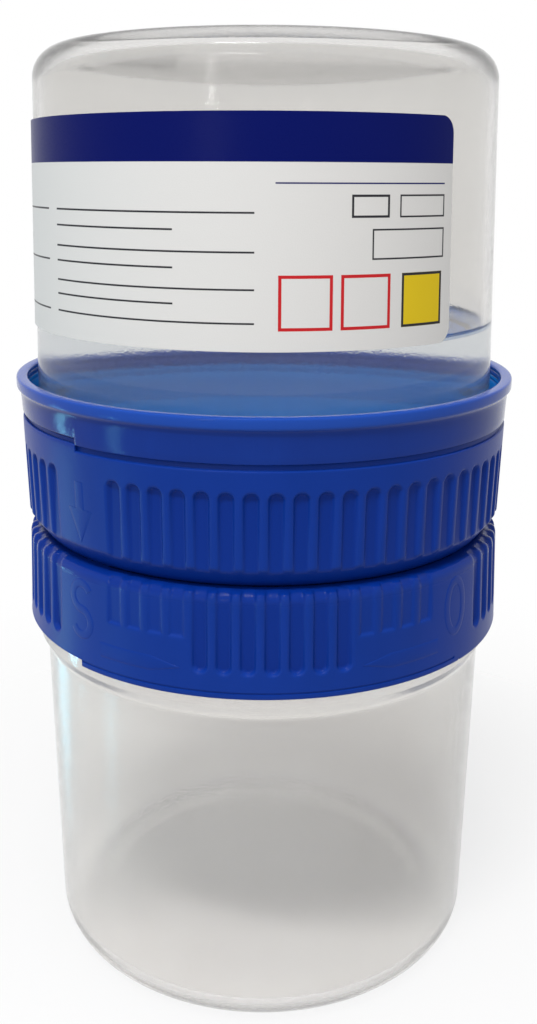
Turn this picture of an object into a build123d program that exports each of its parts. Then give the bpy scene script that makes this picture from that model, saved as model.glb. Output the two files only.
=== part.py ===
from build123d import *
import math
import os

# A specimen container of two equal screw jars joined mouth to mouth by a turning valve.
# Millimetres and degrees. +Z is up, the front is -Y, and the origin is on the floor at the axis.
# Angles are read from the front towards +X, so that a growing angle is counter-clockwise from above.

# Driving dimensions: the jar
jar_height = 66.4
jar_base_radius = 34.2
jar_draft = 0.95
jar_wall = 1.25
jar_base_round = 4.5
jar_floor_edge = 1.9
jar_floor_rise = 2.2
foot_ring_width = 2.2
foot_recess = 0.7
gate_radius = 1.6
gate_height = 0.3
neck_step = 1.55
neck_wall = 1.3
mouth_round = 0.4
flange_reach = 1.2
flange_height = 2.9
flange_drop = 11.4
shoulder_height = 1.9

# Driving dimensions: the screw threads
thread_lead = 6.0
thread_starts = 2
thread_height = 1.0
thread_foot_width = 1.7
thread_crest_width = 0.9
thread_sink = 0.25
jar_thread_turn = 270.0
jar_thread_rise = 2.2
cap_thread_turn = 150.0
cap_thread_rise = 1.9

# Driving dimensions: the caps
cap_skirt_drop = 12.47
cap_skirt_wall = 0.91
cap_draft = 0.4
cap_bore_gap = 0.4
cap_flange_gap = 0.3
cap_flange_room = 0.4
plate_thickness = 1.4
rim_height = 0.27
rim_reach = 1.86
rim_round = 1.5
rim_round_reach = 0.3
edge_step = 1.0
lip_line_depth = 0.15
lip_line_height = 0.25
lip_notch_height = 0.4
lip_notch_width = 0.8
lip_notch_lead = 1.6
upper_skirt_rise = 12.02

# Driving dimensions: the valve
gasket_thickness = 0.8
gasket_inner_gap = 0.6
gasket_edge_gap = 0.3
seal_thickness = 2.58
seal_inset = 1.3
seal_edge_gap = 0.6
port_radius = 7.0
port_offset = 17.0
pin_radius = 4.0
pin_head_radius = 6.0
pin_head_height = 1.0
clip_radius = 6.5
clip_slot = 1.2
clip_neck_depth = 0.5
clip_thickness = 0.4
pin_running_gap = 0.05
pin_end_height = 0.8
foot_chamfer_reach = 2.26
foot_gap = 0.25
foot_chamfer_height = 2.88
key_radius = 1.6
key_offset = 12.0
key_height = 1.2
key_gap = 0.1
valve_travel = 90.0
lug_width = 8.0
lug_inset = 1.0
lug_depth = 1.2
lug_drop = 1.0
lug_gap = 0.12

# Driving dimensions: the lock collar
collar_height = 6.21
collar_gap = 0.86
collar_wall_growth = 0.3
collar_flare = 0.48
collar_flare_height = 0.5
collar_edge = 0.3
collar_lip_height = 1.54
spigot_height = 1.56
spigot_wall = 0.4
spigot_gap = 0.05
collar_line_depth = 0.15
collar_line_pitch = 0.8
collar_line_count = 3

# Driving dimensions: the grip grooves and the marks
groove_pitch = 5.0
groove_width = 1.95
groove_depth = 0.55
groove_skip = 3
lower_groove_drop = 11.45
lower_short_drop = 6.7
short_groove_count = 4
upper_groove_top = 3.04
closed_angle = -43.0
arrow_lead = 0.6
mark_height = 0.18
letter_height = 9.0
letter_width = 5.3
letter_stroke = 1.4
turn_arrow_height = 2.4
turn_arrow_tail = 6.0
turn_arrow_length = 13.0
turn_arrow_point = 4.4
turn_arrow_rise = 3.87
letter_rise = 8.7
valve_arrow_width = 1.95
valve_arrow_head = 5.6
valve_arrow_top = 4.2
valve_arrow_shoulder = 8.1
valve_arrow_tip = 12.9

# Driving dimensions: the label and the fill
label_thickness = 0.2
label_gap = 0.1
label_right_angle = 44.6
label_sweep = 195.0
label_bottom_rise = 39.5
label_top_rise = 10.3
label_corner = 2.2
fill_level_rise = 39.5
fill_gap = 0.06
fill_lip = 0.3

# How far every cutter runs past the faces that it crosses
cut_margin = 1.0

# Turns in degrees
full_circle = 360.0
half_circle = 180.0

# Levels worked out upwards from the floor
lower_mouth = jar_height
lower_plate_bottom = lower_mouth + gasket_thickness
lower_plate_top = lower_plate_bottom + plate_thickness
rim_top = lower_plate_top + rim_height
seal_top = lower_plate_top + seal_thickness
upper_plate_top = seal_top + plate_thickness
upper_mouth = upper_plate_top + gasket_thickness
total_height = upper_mouth + jar_height
lower_skirt_bottom = lower_mouth - cap_skirt_drop
upper_skirt_top = upper_mouth + upper_skirt_rise
foot_bottom = rim_top + foot_gap
chamfer_top = foot_bottom + foot_chamfer_height
collar_bottom = upper_skirt_top + collar_gap
collar_top = collar_bottom + collar_height
spigot_top = upper_skirt_top + spigot_height
flange_top = jar_height - flange_drop
flange_bottom = flange_top - flange_height
shoulder_level = flange_bottom - shoulder_height

# Radii worked out from the jar and its clearances
jar_shoulder_radius = jar_base_radius + jar_draft
neck_radius = jar_shoulder_radius - neck_step
neck_inner_radius = neck_radius - neck_wall
flange_radius = jar_shoulder_radius + flange_reach
cap_bore = neck_radius + thread_height + cap_bore_gap
flange_bore = flange_radius + cap_flange_gap
cap_skirt_radius = flange_bore + cap_skirt_wall
cap_top_radius = cap_skirt_radius - cap_draft
rim_top_radius = cap_top_radius - rim_reach
foot_outer_radius = cap_top_radius - foot_chamfer_reach
lug_radius = foot_outer_radius - lug_inset
seal_radius = neck_inner_radius - seal_inset
collar_top_radius = cap_skirt_radius + collar_wall_growth
collar_lip_radius = collar_top_radius + collar_flare
pocket_radius = seal_radius + seal_edge_gap
open_angle = closed_angle + valve_travel


def revolved(points):
    """Turn a closed outline of radius and height pairs about the axis."""
    outline = make_face(Polyline(*[(r, 0, z) for r, z in points], close=True))
    return revolve(outline, Axis.Z)


def spread(angle):
    """The frame at an angle round the axis, with X pointing outwards."""
    return Rot(0, 0, angle - 90)


def ring(inner, outer, bottom, top):
    """A plain ring about the axis."""
    body = Cylinder(outer, top - bottom, align=(Align.CENTER, Align.CENTER, Align.MIN))
    hole = Cylinder(inner, top - bottom, align=(Align.CENTER, Align.CENTER, Align.MIN))
    return Pos(0, 0, bottom) * (body - hole)


def ring_sector(inner, outer, bottom, top, start, sweep):
    """The part of a ring from one angle on, over a sweep."""
    outline = make_face(
        Polyline((inner, 0, bottom), (outer, 0, bottom), (outer, 0, top), (inner, 0, top), close=True)
    )
    return spread(start) * revolve(outline, Axis.Z, sweep)


def disc(radius, bottom, top):
    """A plain round disc or hole on the axis."""
    return Pos(0, 0, bottom) * Cylinder(radius, top - bottom, align=(Align.CENTER, Align.CENTER, Align.MIN))


def ports(angle, bottom, top):
    """The two round ports, opposite each other."""
    holes = []
    for half_turn in (0, half_circle):
        place = spread(angle + half_turn) * Pos(port_offset, 0, 0)
        holes.append(place * disc(port_radius, bottom, top))
    return holes


def seal_keys(angle, radius, bottom, top):
    """The two round pegs that keep the seal from turning, or their holes."""
    keys = []
    for quarter_turn in (half_circle / 2, half_circle * 3 / 2):
        place = spread(angle + quarter_turn) * Pos(key_offset, 0, 0)
        keys.append(place * disc(radius, bottom, top))
    return keys


def thread_ridges(radius, outwards, bottom, turn, first_angle):
    """The ridges of a right-hand thread, one for each start."""
    side = 1 if outwards else -1
    sunk = thread_foot_width + (thread_foot_width - thread_crest_width) * thread_sink / thread_height
    path = Helix(thread_lead, thread_lead * turn / full_circle, radius, center=(0, 0, bottom))
    foot = radius - side * thread_sink
    crest = radius + side * thread_height
    section = make_face(
        Polyline(
            (foot, 0, bottom - sunk / 2),
            (crest, 0, bottom - thread_crest_width / 2),
            (crest, 0, bottom + thread_crest_width / 2),
            (foot, 0, bottom + sunk / 2),
            close=True,
        )
    )
    ridge = sweep(section, path, is_frenet=True)
    step = full_circle / thread_starts
    return [Rot(0, 0, first_angle + step * i) * ridge for i in range(thread_starts)]


def dome_arc(radius, edge_level, rise):
    """Half of a shallow dome's arc, from the axis out to its edge, about a centre on the axis."""
    sphere = (radius ** 2 + rise ** 2) / (2 * rise)
    drop = sphere - math.sqrt(sphere ** 2 - (radius / 2) ** 2)
    top = edge_level + rise
    return ThreePointArc((0, top), (radius / 2, top - drop), (radius, edge_level))


def jar():
    """One jar standing on its base, hollow, with its flange and the outer thread of its neck."""
    foot_outer = jar_base_radius - jar_base_round
    foot_inner = foot_outer - foot_ring_width
    base_inner = jar_base_radius - jar_wall
    inner_round = jar_base_round - jar_wall
    shoulder_inner = jar_shoulder_radius - jar_wall
    floor_outer = base_inner - inner_round
    dome_top = jar_floor_edge + jar_floor_rise
    under_top = dome_top - jar_floor_edge + foot_recess / 2
    with BuildSketch(Plane.XZ) as outline:
        with BuildLine():
            dome_arc(foot_inner - foot_recess, foot_recess, under_top - foot_recess)
            Line((foot_inner - foot_recess, foot_recess), (foot_inner, 0))
            Line((foot_inner, 0), (foot_outer, 0))
            TangentArc((foot_outer, 0), (jar_base_radius, jar_base_round), tangent=(1, 0))
            Line((jar_base_radius, jar_base_round), (jar_shoulder_radius, shoulder_level))
            Line((jar_shoulder_radius, shoulder_level), (flange_radius, flange_bottom))
            Line((flange_radius, flange_bottom), (flange_radius, flange_top))
            Line((flange_radius, flange_top), (neck_radius, flange_top))
            Line((neck_radius, flange_top), (neck_radius, jar_height - mouth_round))
            Line((neck_radius, jar_height - mouth_round), (neck_radius - mouth_round, jar_height))
            Line((neck_radius - mouth_round, jar_height), (neck_inner_radius, jar_height))
            Line((neck_inner_radius, jar_height), (neck_inner_radius, flange_bottom + jar_wall))
            Line((neck_inner_radius, flange_bottom + jar_wall), (shoulder_inner, shoulder_level))
            Line((shoulder_inner, shoulder_level), (base_inner, jar_floor_edge + inner_round))
            inner_edge = (base_inner, jar_floor_edge + inner_round)
            TangentArc(inner_edge, (floor_outer, jar_floor_edge), tangent=(0, -1))
            dome_arc(floor_outer, jar_floor_edge, jar_floor_rise)
            Line((0, dome_top), (0, under_top))
        make_face()
    shell = revolve(outline.sketch, Axis.Z)
    gate = disc(gate_radius, under_top - gate_height, under_top + jar_wall / 2)
    ridges = thread_ridges(neck_radius, True, flange_top + jar_thread_rise, jar_thread_turn, 0)
    return shell + gate + ridges


def cap_ridges():
    """The inner thread of a cap on a jar that stands on the floor, midway between the jar's ridges."""
    lift_angle = full_circle * (cap_thread_rise - jar_thread_rise) / thread_lead
    first_angle = full_circle / thread_starts / 2 + lift_angle
    return thread_ridges(cap_bore, False, flange_top + cap_thread_rise, cap_thread_turn, first_angle)


def inverted(shape):
    """Turn a piece of the lower half upside down into its place in the upper half."""
    return Pos(0, 0, total_height) * Rot(half_circle, 0, 0) * shape


def groove_cutter(radius, low, high, round_low):
    """A grip groove's cutter at the front: a flat slot with one round end, cut down to a radius."""
    half = groove_width / 2
    length = high - low
    bar = Box(groove_depth * 4, groove_width, length, align=(Align.MIN, Align.CENTER, Align.MIN))
    rod_align = (Align.CENTER, Align.CENTER, Align.MIN)
    end = Cylinder(half, groove_depth * 4, rotation=(0, 90, 0), align=rod_align)
    end_level = 0 if round_low else length
    shape = bar + Pos(0, 0, end_level) * end
    return Pos(radius, 0, low) * shape


def angle_between(one, other):
    """The smaller angle between two directions."""
    return abs((one - other + half_circle) % full_circle - half_circle)


def groove_angles(middle, plates):
    """Groove angles on one even pitch, left out where an ungrooved plate lies."""
    count = round(full_circle / groove_pitch)
    half_plate = groove_pitch * (groove_skip + 1) / 2 - groove_pitch / 4
    angles = []
    for i in range(count):
        angle = middle + groove_pitch * i
        if min(angle_between(angle, plate) for plate in plates) > half_plate:
            angles.append(angle)
    return angles


def raised(sketch, angle, level, low_radius, high_radius, low_level, high_level):
    """Raise a flat mark by mark_height above a tapered wall, at an angle and a level."""
    plane = Plane(origin=(0, 0, level), x_dir=(0, 1, 0), z_dir=(1, 0, 0))
    block = spread(angle) * extrude(plane * sketch, amount=cap_skirt_radius + cut_margin)
    sleeve = revolved([
        (low_radius - mark_height, low_level),
        (low_radius + mark_height, low_level),
        (high_radius + mark_height, high_level),
        (high_radius - mark_height, high_level),
    ])
    return block & sleeve


def letter_o():
    """The round open mark."""
    inner_width = letter_width / 2 - letter_stroke
    inner_height = letter_height / 2 - letter_stroke
    return Ellipse(letter_width / 2, letter_height / 2) - Ellipse(inner_width, inner_height)


def letter_s():
    """The shut mark: two bowls that turn opposite ways."""
    bowl = (letter_height - letter_stroke) / 4
    upper = CenterArc((0, bowl), bowl, 30, 240)
    lower = CenterArc((0, -bowl), bowl, 210, 240)
    return trace(upper, letter_stroke) + trace(lower, letter_stroke)


def turn_arrow(direction):
    """A bar with a point that shows which way the valve turns."""
    half = turn_arrow_height / 2
    neck = turn_arrow_length - turn_arrow_point
    points = [(0, -half), (neck, -half), (turn_arrow_length, 0), (neck, half), (0, half)]
    return make_face(Polyline(*[(direction * x, y) for x, y in points], close=True))


def valve_arrow():
    """The arrow that points down at the open or the shut mark."""
    half = valve_arrow_width / 2
    wide = valve_arrow_head / 2
    points = [
        (-half, -valve_arrow_top), (half, -valve_arrow_top), (half, -valve_arrow_shoulder),
        (wide, -valve_arrow_shoulder), (0, -valve_arrow_tip), (-wide, -valve_arrow_shoulder),
        (-half, -valve_arrow_shoulder),
    ]
    return make_face(Polyline(*points, close=True))


def lower_edge_cuts():
    """The half-turn step, the fine line and the small notch along the lower cap's bottom edge."""
    inner = flange_bore - cut_margin
    outer = cap_skirt_radius + cut_margin
    below = lower_skirt_bottom - cut_margin
    step_top = lower_skirt_bottom + edge_step
    line_inner = cap_skirt_radius - lip_line_depth
    notch_top = lower_skirt_bottom + lip_notch_height
    return [
        ring_sector(inner, outer, below, step_top, closed_angle - half_circle, half_circle),
        ring_sector(line_inner, outer, step_top - lip_line_height, step_top, closed_angle, valve_travel),
        ring_sector(inner, outer, below, notch_top, open_angle + lip_notch_lead, lip_notch_width),
    ]


def lug_recesses():
    """The two curved recesses in which the upper cap's stop lugs run."""
    gap_angle = math.degrees(lug_gap / lug_radius)
    inner = lug_radius - lug_depth / 2 - lug_gap
    outer = lug_radius + lug_depth / 2 + lug_gap
    floor = foot_bottom - lug_drop - lug_gap
    start = closed_angle + arrow_lead - lug_width / 2 - gap_angle
    reach = lug_width + 2 * gap_angle + valve_travel
    recesses = []
    for half_turn in (0, half_circle):
        recesses.append(ring_sector(inner, outer, floor, rim_top + cut_margin, start + half_turn, reach))
    return recesses


def lower_grooves():
    """The lower cap's grip grooves: long ones, and short ones beside the front plates."""
    middle = (closed_angle + open_angle) / 2
    plates = [middle + valve_travel * (i + 0.5) for i in range(round(full_circle / valve_travel))]
    floor = cap_top_radius - groove_depth
    above = rim_top + cut_margin
    long_cutter = groove_cutter(floor, rim_top - lower_groove_drop + groove_width / 2, above, True)
    short_cutter = groove_cutter(floor, rim_top - lower_short_drop, above, False)
    last_front = round(valve_travel / 2 / groove_pitch - (groove_skip + 1) / 2)
    grooves = []
    for angle in groove_angles(middle, plates):
        steps = angle_between(angle, middle) / groove_pitch
        short = last_front - short_groove_count < steps <= last_front
        grooves.append(spread(angle) * (short_cutter if short else long_cutter))
    return grooves


def lower_cap():
    """The cap that screws on the specimen jar and carries the fixed half of the valve."""
    cap = revolved([
        (0, lower_plate_bottom), (cap_bore, lower_plate_bottom),
        (cap_bore, flange_top + cap_flange_room), (flange_bore, flange_top + cap_flange_room),
        (flange_bore, lower_skirt_bottom), (cap_skirt_radius, lower_skirt_bottom),
        (cap_top_radius, rim_top - rim_round), (cap_top_radius - rim_round_reach, rim_top - rim_round / 4),
        (rim_top_radius, rim_top), (pocket_radius, rim_top),
        (pocket_radius, lower_plate_top), (0, lower_plate_top),
    ])
    below = lower_plate_bottom - cut_margin
    above = lower_plate_top + cut_margin
    cuts = ports(open_angle, below, above) + [disc(pin_radius, below, above)]
    cuts += lower_edge_cuts() + lug_recesses() + lower_grooves()
    marks = [
        (letter_s(), closed_angle, lower_skirt_bottom + letter_rise),
        (letter_o(), open_angle, lower_skirt_bottom + letter_rise),
        (turn_arrow(1), closed_angle + turn_arrow_tail, lower_skirt_bottom + turn_arrow_rise),
        (turn_arrow(-1), open_angle - turn_arrow_tail, lower_skirt_bottom + turn_arrow_rise),
    ]
    top = rim_top - rim_round
    added = []
    for sketch, angle, level in marks:
        mark = raised(sketch, angle, level, cap_skirt_radius, cap_top_radius, lower_skirt_bottom, top)
        added.append(mark)
    key_foot = lower_plate_top - plate_thickness / 2
    added += seal_keys(open_angle, key_radius, key_foot, lower_plate_top + key_height)
    return cap - cuts + added + cap_ridges()


def upper_cap():
    """The cap that carries the reservoir jar and turns on the lower cap."""
    mirror_flange = total_height - flange_top - cap_flange_room
    arrow_angle = closed_angle + arrow_lead
    cap = revolved([
        (0, seal_top), (pocket_radius, seal_top), (pocket_radius, foot_bottom),
        (foot_outer_radius, foot_bottom), (cap_top_radius, chamfer_top),
        (cap_skirt_radius, upper_skirt_top), (flange_bore + spigot_wall, upper_skirt_top),
        (flange_bore + spigot_wall, spigot_top), (flange_bore, spigot_top),
        (flange_bore, mirror_flange), (cap_bore, mirror_flange), (cap_bore, upper_plate_top),
        (0, upper_plate_top),
    ])
    cuts = ports(open_angle - valve_travel, seal_top - cut_margin, upper_plate_top + cut_margin)
    cuts.append(disc(pin_radius + pin_running_gap, seal_top - cut_margin, upper_plate_top + cut_margin))
    groove_end = upper_skirt_top - upper_groove_top - groove_width / 2
    cutter = groove_cutter(cap_top_radius - groove_depth, foot_bottom - cut_margin, groove_end, False)
    for angle in groove_angles(arrow_angle, [arrow_angle, arrow_angle + half_circle]):
        cuts.append(spread(angle) * cutter)
    added = [inverted(ridge) for ridge in cap_ridges()]
    step_inner = flange_bore + spigot_wall / 2
    step_foot = upper_skirt_top - edge_step / 2
    step_start = closed_angle - half_circle
    step_top = upper_skirt_top + edge_step
    added.append(ring_sector(step_inner, cap_skirt_radius, step_foot, step_top, step_start, half_circle))
    wall = (cap_top_radius, cap_skirt_radius, chamfer_top, upper_skirt_top)
    added.append(raised(valve_arrow(), arrow_angle, upper_skirt_top, *wall))
    return cap - cuts + added + stop_lugs(arrow_angle)


def stop_lugs(angle):
    """The two lugs under the upper cap that stop the valve at both ends of its travel."""
    inner = lug_radius - lug_depth / 2
    outer = lug_radius + lug_depth / 2
    bottom = foot_bottom - lug_drop
    top = foot_bottom + lug_drop / 2
    lugs = []
    for half_turn in (0, half_circle):
        start = angle - lug_width / 2 + half_turn
        lugs.append(ring_sector(inner, outer, bottom, top, start, lug_width))
    return lugs


def lock_collar():
    """The flared collar that is snapped on the upper cap round the reservoir jar's shoulder."""
    lip_bottom = collar_top - collar_lip_height
    rebate = flange_bore + spigot_wall + spigot_gap
    collar = revolved([
        (flange_bore, spigot_top), (rebate, spigot_top), (rebate, collar_bottom),
        (cap_skirt_radius, collar_bottom), (collar_top_radius, lip_bottom - collar_flare_height),
        (collar_lip_radius, lip_bottom),
        (collar_lip_radius, collar_top - collar_edge), (collar_lip_radius - collar_edge, collar_top),
        (flange_bore + collar_edge, collar_top), (flange_bore, collar_top - collar_edge),
    ])
    step_top = collar_bottom + edge_step
    step_outer = cap_skirt_radius + cut_margin
    step_start = closed_angle - half_circle
    cuts = [ring_sector(rebate, step_outer, collar_bottom - cut_margin, step_top, step_start, half_circle)]
    for i in range(collar_line_count):
        level = collar_top - collar_line_pitch * (i + 1)
        half = collar_line_depth / 2
        cuts.append(revolved([
            (flange_bore - half, level - half * 2), (flange_bore + half, level),
            (flange_bore - half, level + half * 2),
        ]))
    return collar - cuts


def gasket(bottom):
    """A flat sealing ring between a jar's mouth and its cap, small enough to pass the cap's thread."""
    inner = neck_inner_radius - gasket_inner_gap
    outer = cap_bore - thread_height - gasket_edge_gap
    return ring(inner, outer, bottom, bottom + gasket_thickness)


def valve_seal():
    """The soft disc between the caps, with ports over those of the lower cap."""
    below = lower_plate_top - cut_margin
    above = seal_top + cut_margin
    cuts = ports(open_angle, below, above)
    cuts.append(disc(pin_radius + key_gap, below, above))
    cuts += seal_keys(open_angle, key_radius + key_gap, below, lower_plate_top + key_height + key_gap)
    return disc(seal_radius, lower_plate_top, seal_top) - cuts


def valve_pivot():
    """The pin that holds the caps together and lets the upper one turn."""
    head = disc(pin_head_radius, lower_plate_bottom - pin_head_height, lower_plate_bottom)
    shaft = disc(pin_radius, lower_plate_bottom - pin_head_height / 2, upper_plate_top + pin_end_height)
    neck_top = upper_plate_top + clip_thickness
    neck = ring(pin_radius - clip_neck_depth, pin_radius + cut_margin, upper_plate_top, neck_top)
    return head + (shaft - neck)


def pivot_clip():
    """The split ring that snaps into the pin's neck above the upper plate."""
    bottom = upper_plate_top
    clip = ring(pin_radius - clip_neck_depth, clip_radius, bottom, bottom + clip_thickness)
    slot = Pos(clip_radius, 0, bottom) * Box(clip_radius * 2, clip_slot, clip_thickness * 4)
    return clip - slot


def reservoir_label():
    """The label that is wrapped round the reservoir's straight wall."""
    bottom = total_height - label_bottom_rise
    top = total_height - label_top_rise
    wall_bottom = jar_radius_at(label_bottom_rise) + label_gap
    wall_top = jar_radius_at(label_top_rise) + label_gap
    sleeve = revolved([
        (wall_bottom, bottom), (wall_bottom + label_thickness, bottom),
        (wall_top + label_thickness, top), (wall_top, top),
    ])
    left_angle = label_right_angle - label_sweep
    inner = jar_base_radius / 2
    outer = jar_shoulder_radius + cut_margin
    below = bottom - cut_margin
    label = sleeve & ring_sector(inner, outer, below, top + cut_margin, left_angle, label_sweep)
    for end_angle, direction in ((label_right_angle, -1), (left_angle, 1)):
        for level, up in ((bottom, 1), (top, -1)):
            label -= corner_cutter(end_angle, direction, level, up)
    return label


def corner_cutter(angle, direction, level, up):
    """What a rounded label corner leaves out of a square one."""
    depth = label_corner * 4
    square = Box(depth, label_corner * 2, label_corner * 2)
    rod = Cylinder(label_corner, depth + cut_margin, rotation=(0, 90, 0))
    rounding = Pos(0, direction * label_corner, up * label_corner) * rod
    return spread(angle) * Pos(jar_shoulder_radius, 0, level) * (square - rounding)


def jar_radius_at(rise):
    """The outer radius of a jar's straight wall at a height above its base."""
    share = (rise - jar_base_round) / (shoulder_level - jar_base_round)
    return jar_base_radius + (jar_shoulder_radius - jar_base_radius) * share


def formalin_fill():
    """The liquid that stands in the reservoir above the shut valve."""
    neck = neck_inner_radius - fill_gap
    surface = jar_radius_at(fill_level_rise) - jar_wall - fill_gap
    shoulder = jar_shoulder_radius - jar_wall - fill_gap
    return revolved([
        (0, upper_mouth + fill_lip), (neck, upper_mouth + fill_lip),
        (neck, total_height - flange_bottom - jar_wall), (shoulder, total_height - shoulder_level),
        (surface, total_height - fill_level_rise), (0, total_height - fill_level_rise),
    ])


def make_parts():
    """Every piece in its place, by name."""
    specimen_jar = jar()
    return {
        "specimen_jar": specimen_jar,
        "specimen_gasket": gasket(lower_mouth),
        "lower_cap": lower_cap(),
        "valve_seal": valve_seal(),
        "valve_pivot": valve_pivot(),
        "pivot_clip": pivot_clip(),
        "upper_cap": upper_cap(),
        "lock_collar": lock_collar(),
        "reservoir_gasket": gasket(upper_plate_top),
        "reservoir_jar": inverted(specimen_jar),
        "reservoir_label": reservoir_label(),
        "formalin_fill": formalin_fill(),
    }


def main():
    os.makedirs("parts", exist_ok=True)
    for name, shape in make_parts().items():
        export_step(shape, os.path.join("parts", name + ".step"))


main()
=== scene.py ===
# %% [markdown]
# # A two-jar specimen container
# Two equal screw jars stand mouth to mouth. The upper one holds the liquid, the lower one takes
# the specimen, and a turning valve sits between their blue caps. The measured model comes in as
# a fixed frame. Each step below dresses one piece of it, and every piece rides on its body.
# %% Load the frame
import bpy
import bmesh
import math
from mathutils import Matrix, Vector


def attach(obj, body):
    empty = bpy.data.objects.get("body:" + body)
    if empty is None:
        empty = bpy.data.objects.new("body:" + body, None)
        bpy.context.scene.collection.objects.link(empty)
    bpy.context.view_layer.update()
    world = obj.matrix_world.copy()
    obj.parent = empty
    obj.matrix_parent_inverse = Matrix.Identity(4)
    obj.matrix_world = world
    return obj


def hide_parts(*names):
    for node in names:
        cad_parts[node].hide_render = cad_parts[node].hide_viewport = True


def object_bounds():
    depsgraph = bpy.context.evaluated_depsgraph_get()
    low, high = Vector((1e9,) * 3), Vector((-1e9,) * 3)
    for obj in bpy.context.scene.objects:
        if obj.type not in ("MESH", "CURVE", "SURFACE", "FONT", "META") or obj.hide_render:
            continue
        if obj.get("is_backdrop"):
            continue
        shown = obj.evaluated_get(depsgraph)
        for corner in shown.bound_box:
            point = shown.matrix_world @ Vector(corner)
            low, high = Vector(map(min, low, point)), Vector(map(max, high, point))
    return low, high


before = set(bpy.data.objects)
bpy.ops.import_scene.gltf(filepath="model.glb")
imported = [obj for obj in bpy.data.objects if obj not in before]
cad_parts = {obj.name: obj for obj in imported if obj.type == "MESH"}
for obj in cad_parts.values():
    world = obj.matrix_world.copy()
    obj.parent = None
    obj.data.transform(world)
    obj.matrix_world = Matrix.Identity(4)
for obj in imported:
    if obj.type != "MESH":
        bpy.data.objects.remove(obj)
cad_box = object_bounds()
print("frame nodes:", sorted(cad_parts))

# %% [markdown]
# ## Sizes
# The whole container was turned on a lathe-like mould, so nearly every size is a radius or a
# level. They could be read from the frame's boxes, but names in one place are easier to follow.
# All are in millimetres, with levels above the floor.
# %% Sizes of the jars and caps
MM = 0.001
TOTAL = 139.78
JAR = 66.4
JAR_FOOT = 34.2
JAR_ROUND = 4.5
JAR_DRAFT = 0.95
JAR_WALL = 1.25
SHOULDER = 50.2
FLANGE = 36.35
FLANGE_LOW = 52.1
FLANGE_TOP = 55.0
NECK = 33.6
NECK_INSIDE = 32.3
NECK_FLOOR = 53.35
THREAD_LEAD = 6
BORE = 35.0
FLANGE_BORE = 36.65
SKIRT = 37.56
CAP_TOP = 37.16
CAP_DRAFT = 0.4
GROOVE_FLOOR = 36.8
GROOVE_PITCH = 5
SEAL_POCKET = 31.6
PLATE = 31.05
PORT = 7.0
PORT_OFFSET = 17.0
PIN = 4.0
SHUT = -43.0
OPEN = 47.0
ARROW = -42.4
print("total height", TOTAL, "mm")

# %% [markdown]
# ## Turning an outline
# A jar wall is one outline turned about the axis. Blender's Screw modifier could do it, but a
# small function can also place its columns where detail needs them and bend the result a
# little. Angles start at the front and grow towards the right.
# %% Angles and places
def evenly(count):
    return [360.0 * i / count for i in range(count)]


def place(angle, radius, level):
    turn = math.radians(angle)
    return Vector((radius * math.sin(turn), -radius * math.cos(turn), level)) * MM


print("a quarter turn to the right of the front:", [round(x, 4) for x in place(90, SKIRT, 0)])


# %% Meshes and objects
def mesh_from(name, verts, faces):
    mesh = bpy.data.meshes.new(name)
    mesh.from_pydata(verts, [], faces)
    return mesh


def placed(name, data):
    """A new object that shows the data."""
    thing = bpy.data.objects.new(name, data)
    bpy.context.collection.objects.link(thing)
    return thing


def shown_mesh(carrier):
    """The plain mesh that a helper object shows. The helper is taken away."""
    graph = bpy.context.evaluated_depsgraph_get()
    mesh = bpy.data.meshes.new_from_object(carrier.evaluated_get(graph))
    bpy.data.objects.remove(carrier)
    return mesh


# %% A piece with its faces outwards
def mesh_object(name, mesh, sharp):
    """An object with outward faces, smooth but for edges sharper than an angle in degrees."""
    tidy = bmesh.new()
    tidy.from_mesh(mesh)
    bmesh.ops.recalc_face_normals(tidy, faces=tidy.faces)
    tidy.to_mesh(mesh)
    tidy.free()
    mesh.shade_smooth()
    mesh.set_sharp_from_angle(angle=math.radians(sharp))
    return placed(name, mesh)


print("pieces get smooth faces")


# %% A closed skin from an outline
def turned(name, outline, angles, reshape=None):
    """A closed skin from an outline of radius and level pairs. Radius 0 makes a pole."""
    verts, faces, rings = [], [], []
    for radius, level in outline:
        if radius == 0:
            rings.append([len(verts)] * len(angles))
            verts.append(place(0, 0, level))
            continue
        rings.append(list(range(len(verts), len(verts) + len(angles))))
        for angle in angles:
            spot = reshape(radius, level, angle) if reshape else (radius, level)
            verts.append(place(angle, *spot))
    closed = outline[0][0] > 0
    pairs = zip(rings, rings[1:] + rings[:1] if closed else rings[1:])
    for low, high in pairs:
        for i in range(len(angles)):
            j = (i + 1) % len(angles)
            corners = [low[i], low[j], high[j], high[i]]
            faces.append(list(dict.fromkeys(corners)))
    return mesh_from(name, verts, faces)


print("skins have", len(evenly(240)), "columns")


# %% Arcs and domes
def arc(centre_r, centre_z, radius, start, end, steps):
    """Points on an arc, with angles in degrees from outwards towards up."""
    points = []
    for i in range(steps + 1):
        turn = math.radians(start + (end - start) * i / steps)
        points.append((centre_r + radius * math.cos(turn), centre_z + radius * math.sin(turn)))
    return points


def dome(edge_radius, edge_level, rise, inwards, steps=10):
    """A shallow dome from its edge to the axis, or the other way."""
    sphere = (edge_radius ** 2 + rise ** 2) / (2 * rise)
    points = []
    for i in range(steps + 1):
        radius = edge_radius * (1 - i / steps)
        drop = sphere - math.sqrt(sphere ** 2 - radius ** 2)
        points.append((radius, edge_level + rise - drop))
    return points if inwards else points[::-1]


print("a quarter arc has", len(arc(0, 0, 1, 0, 90, 14)), "points")


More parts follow.
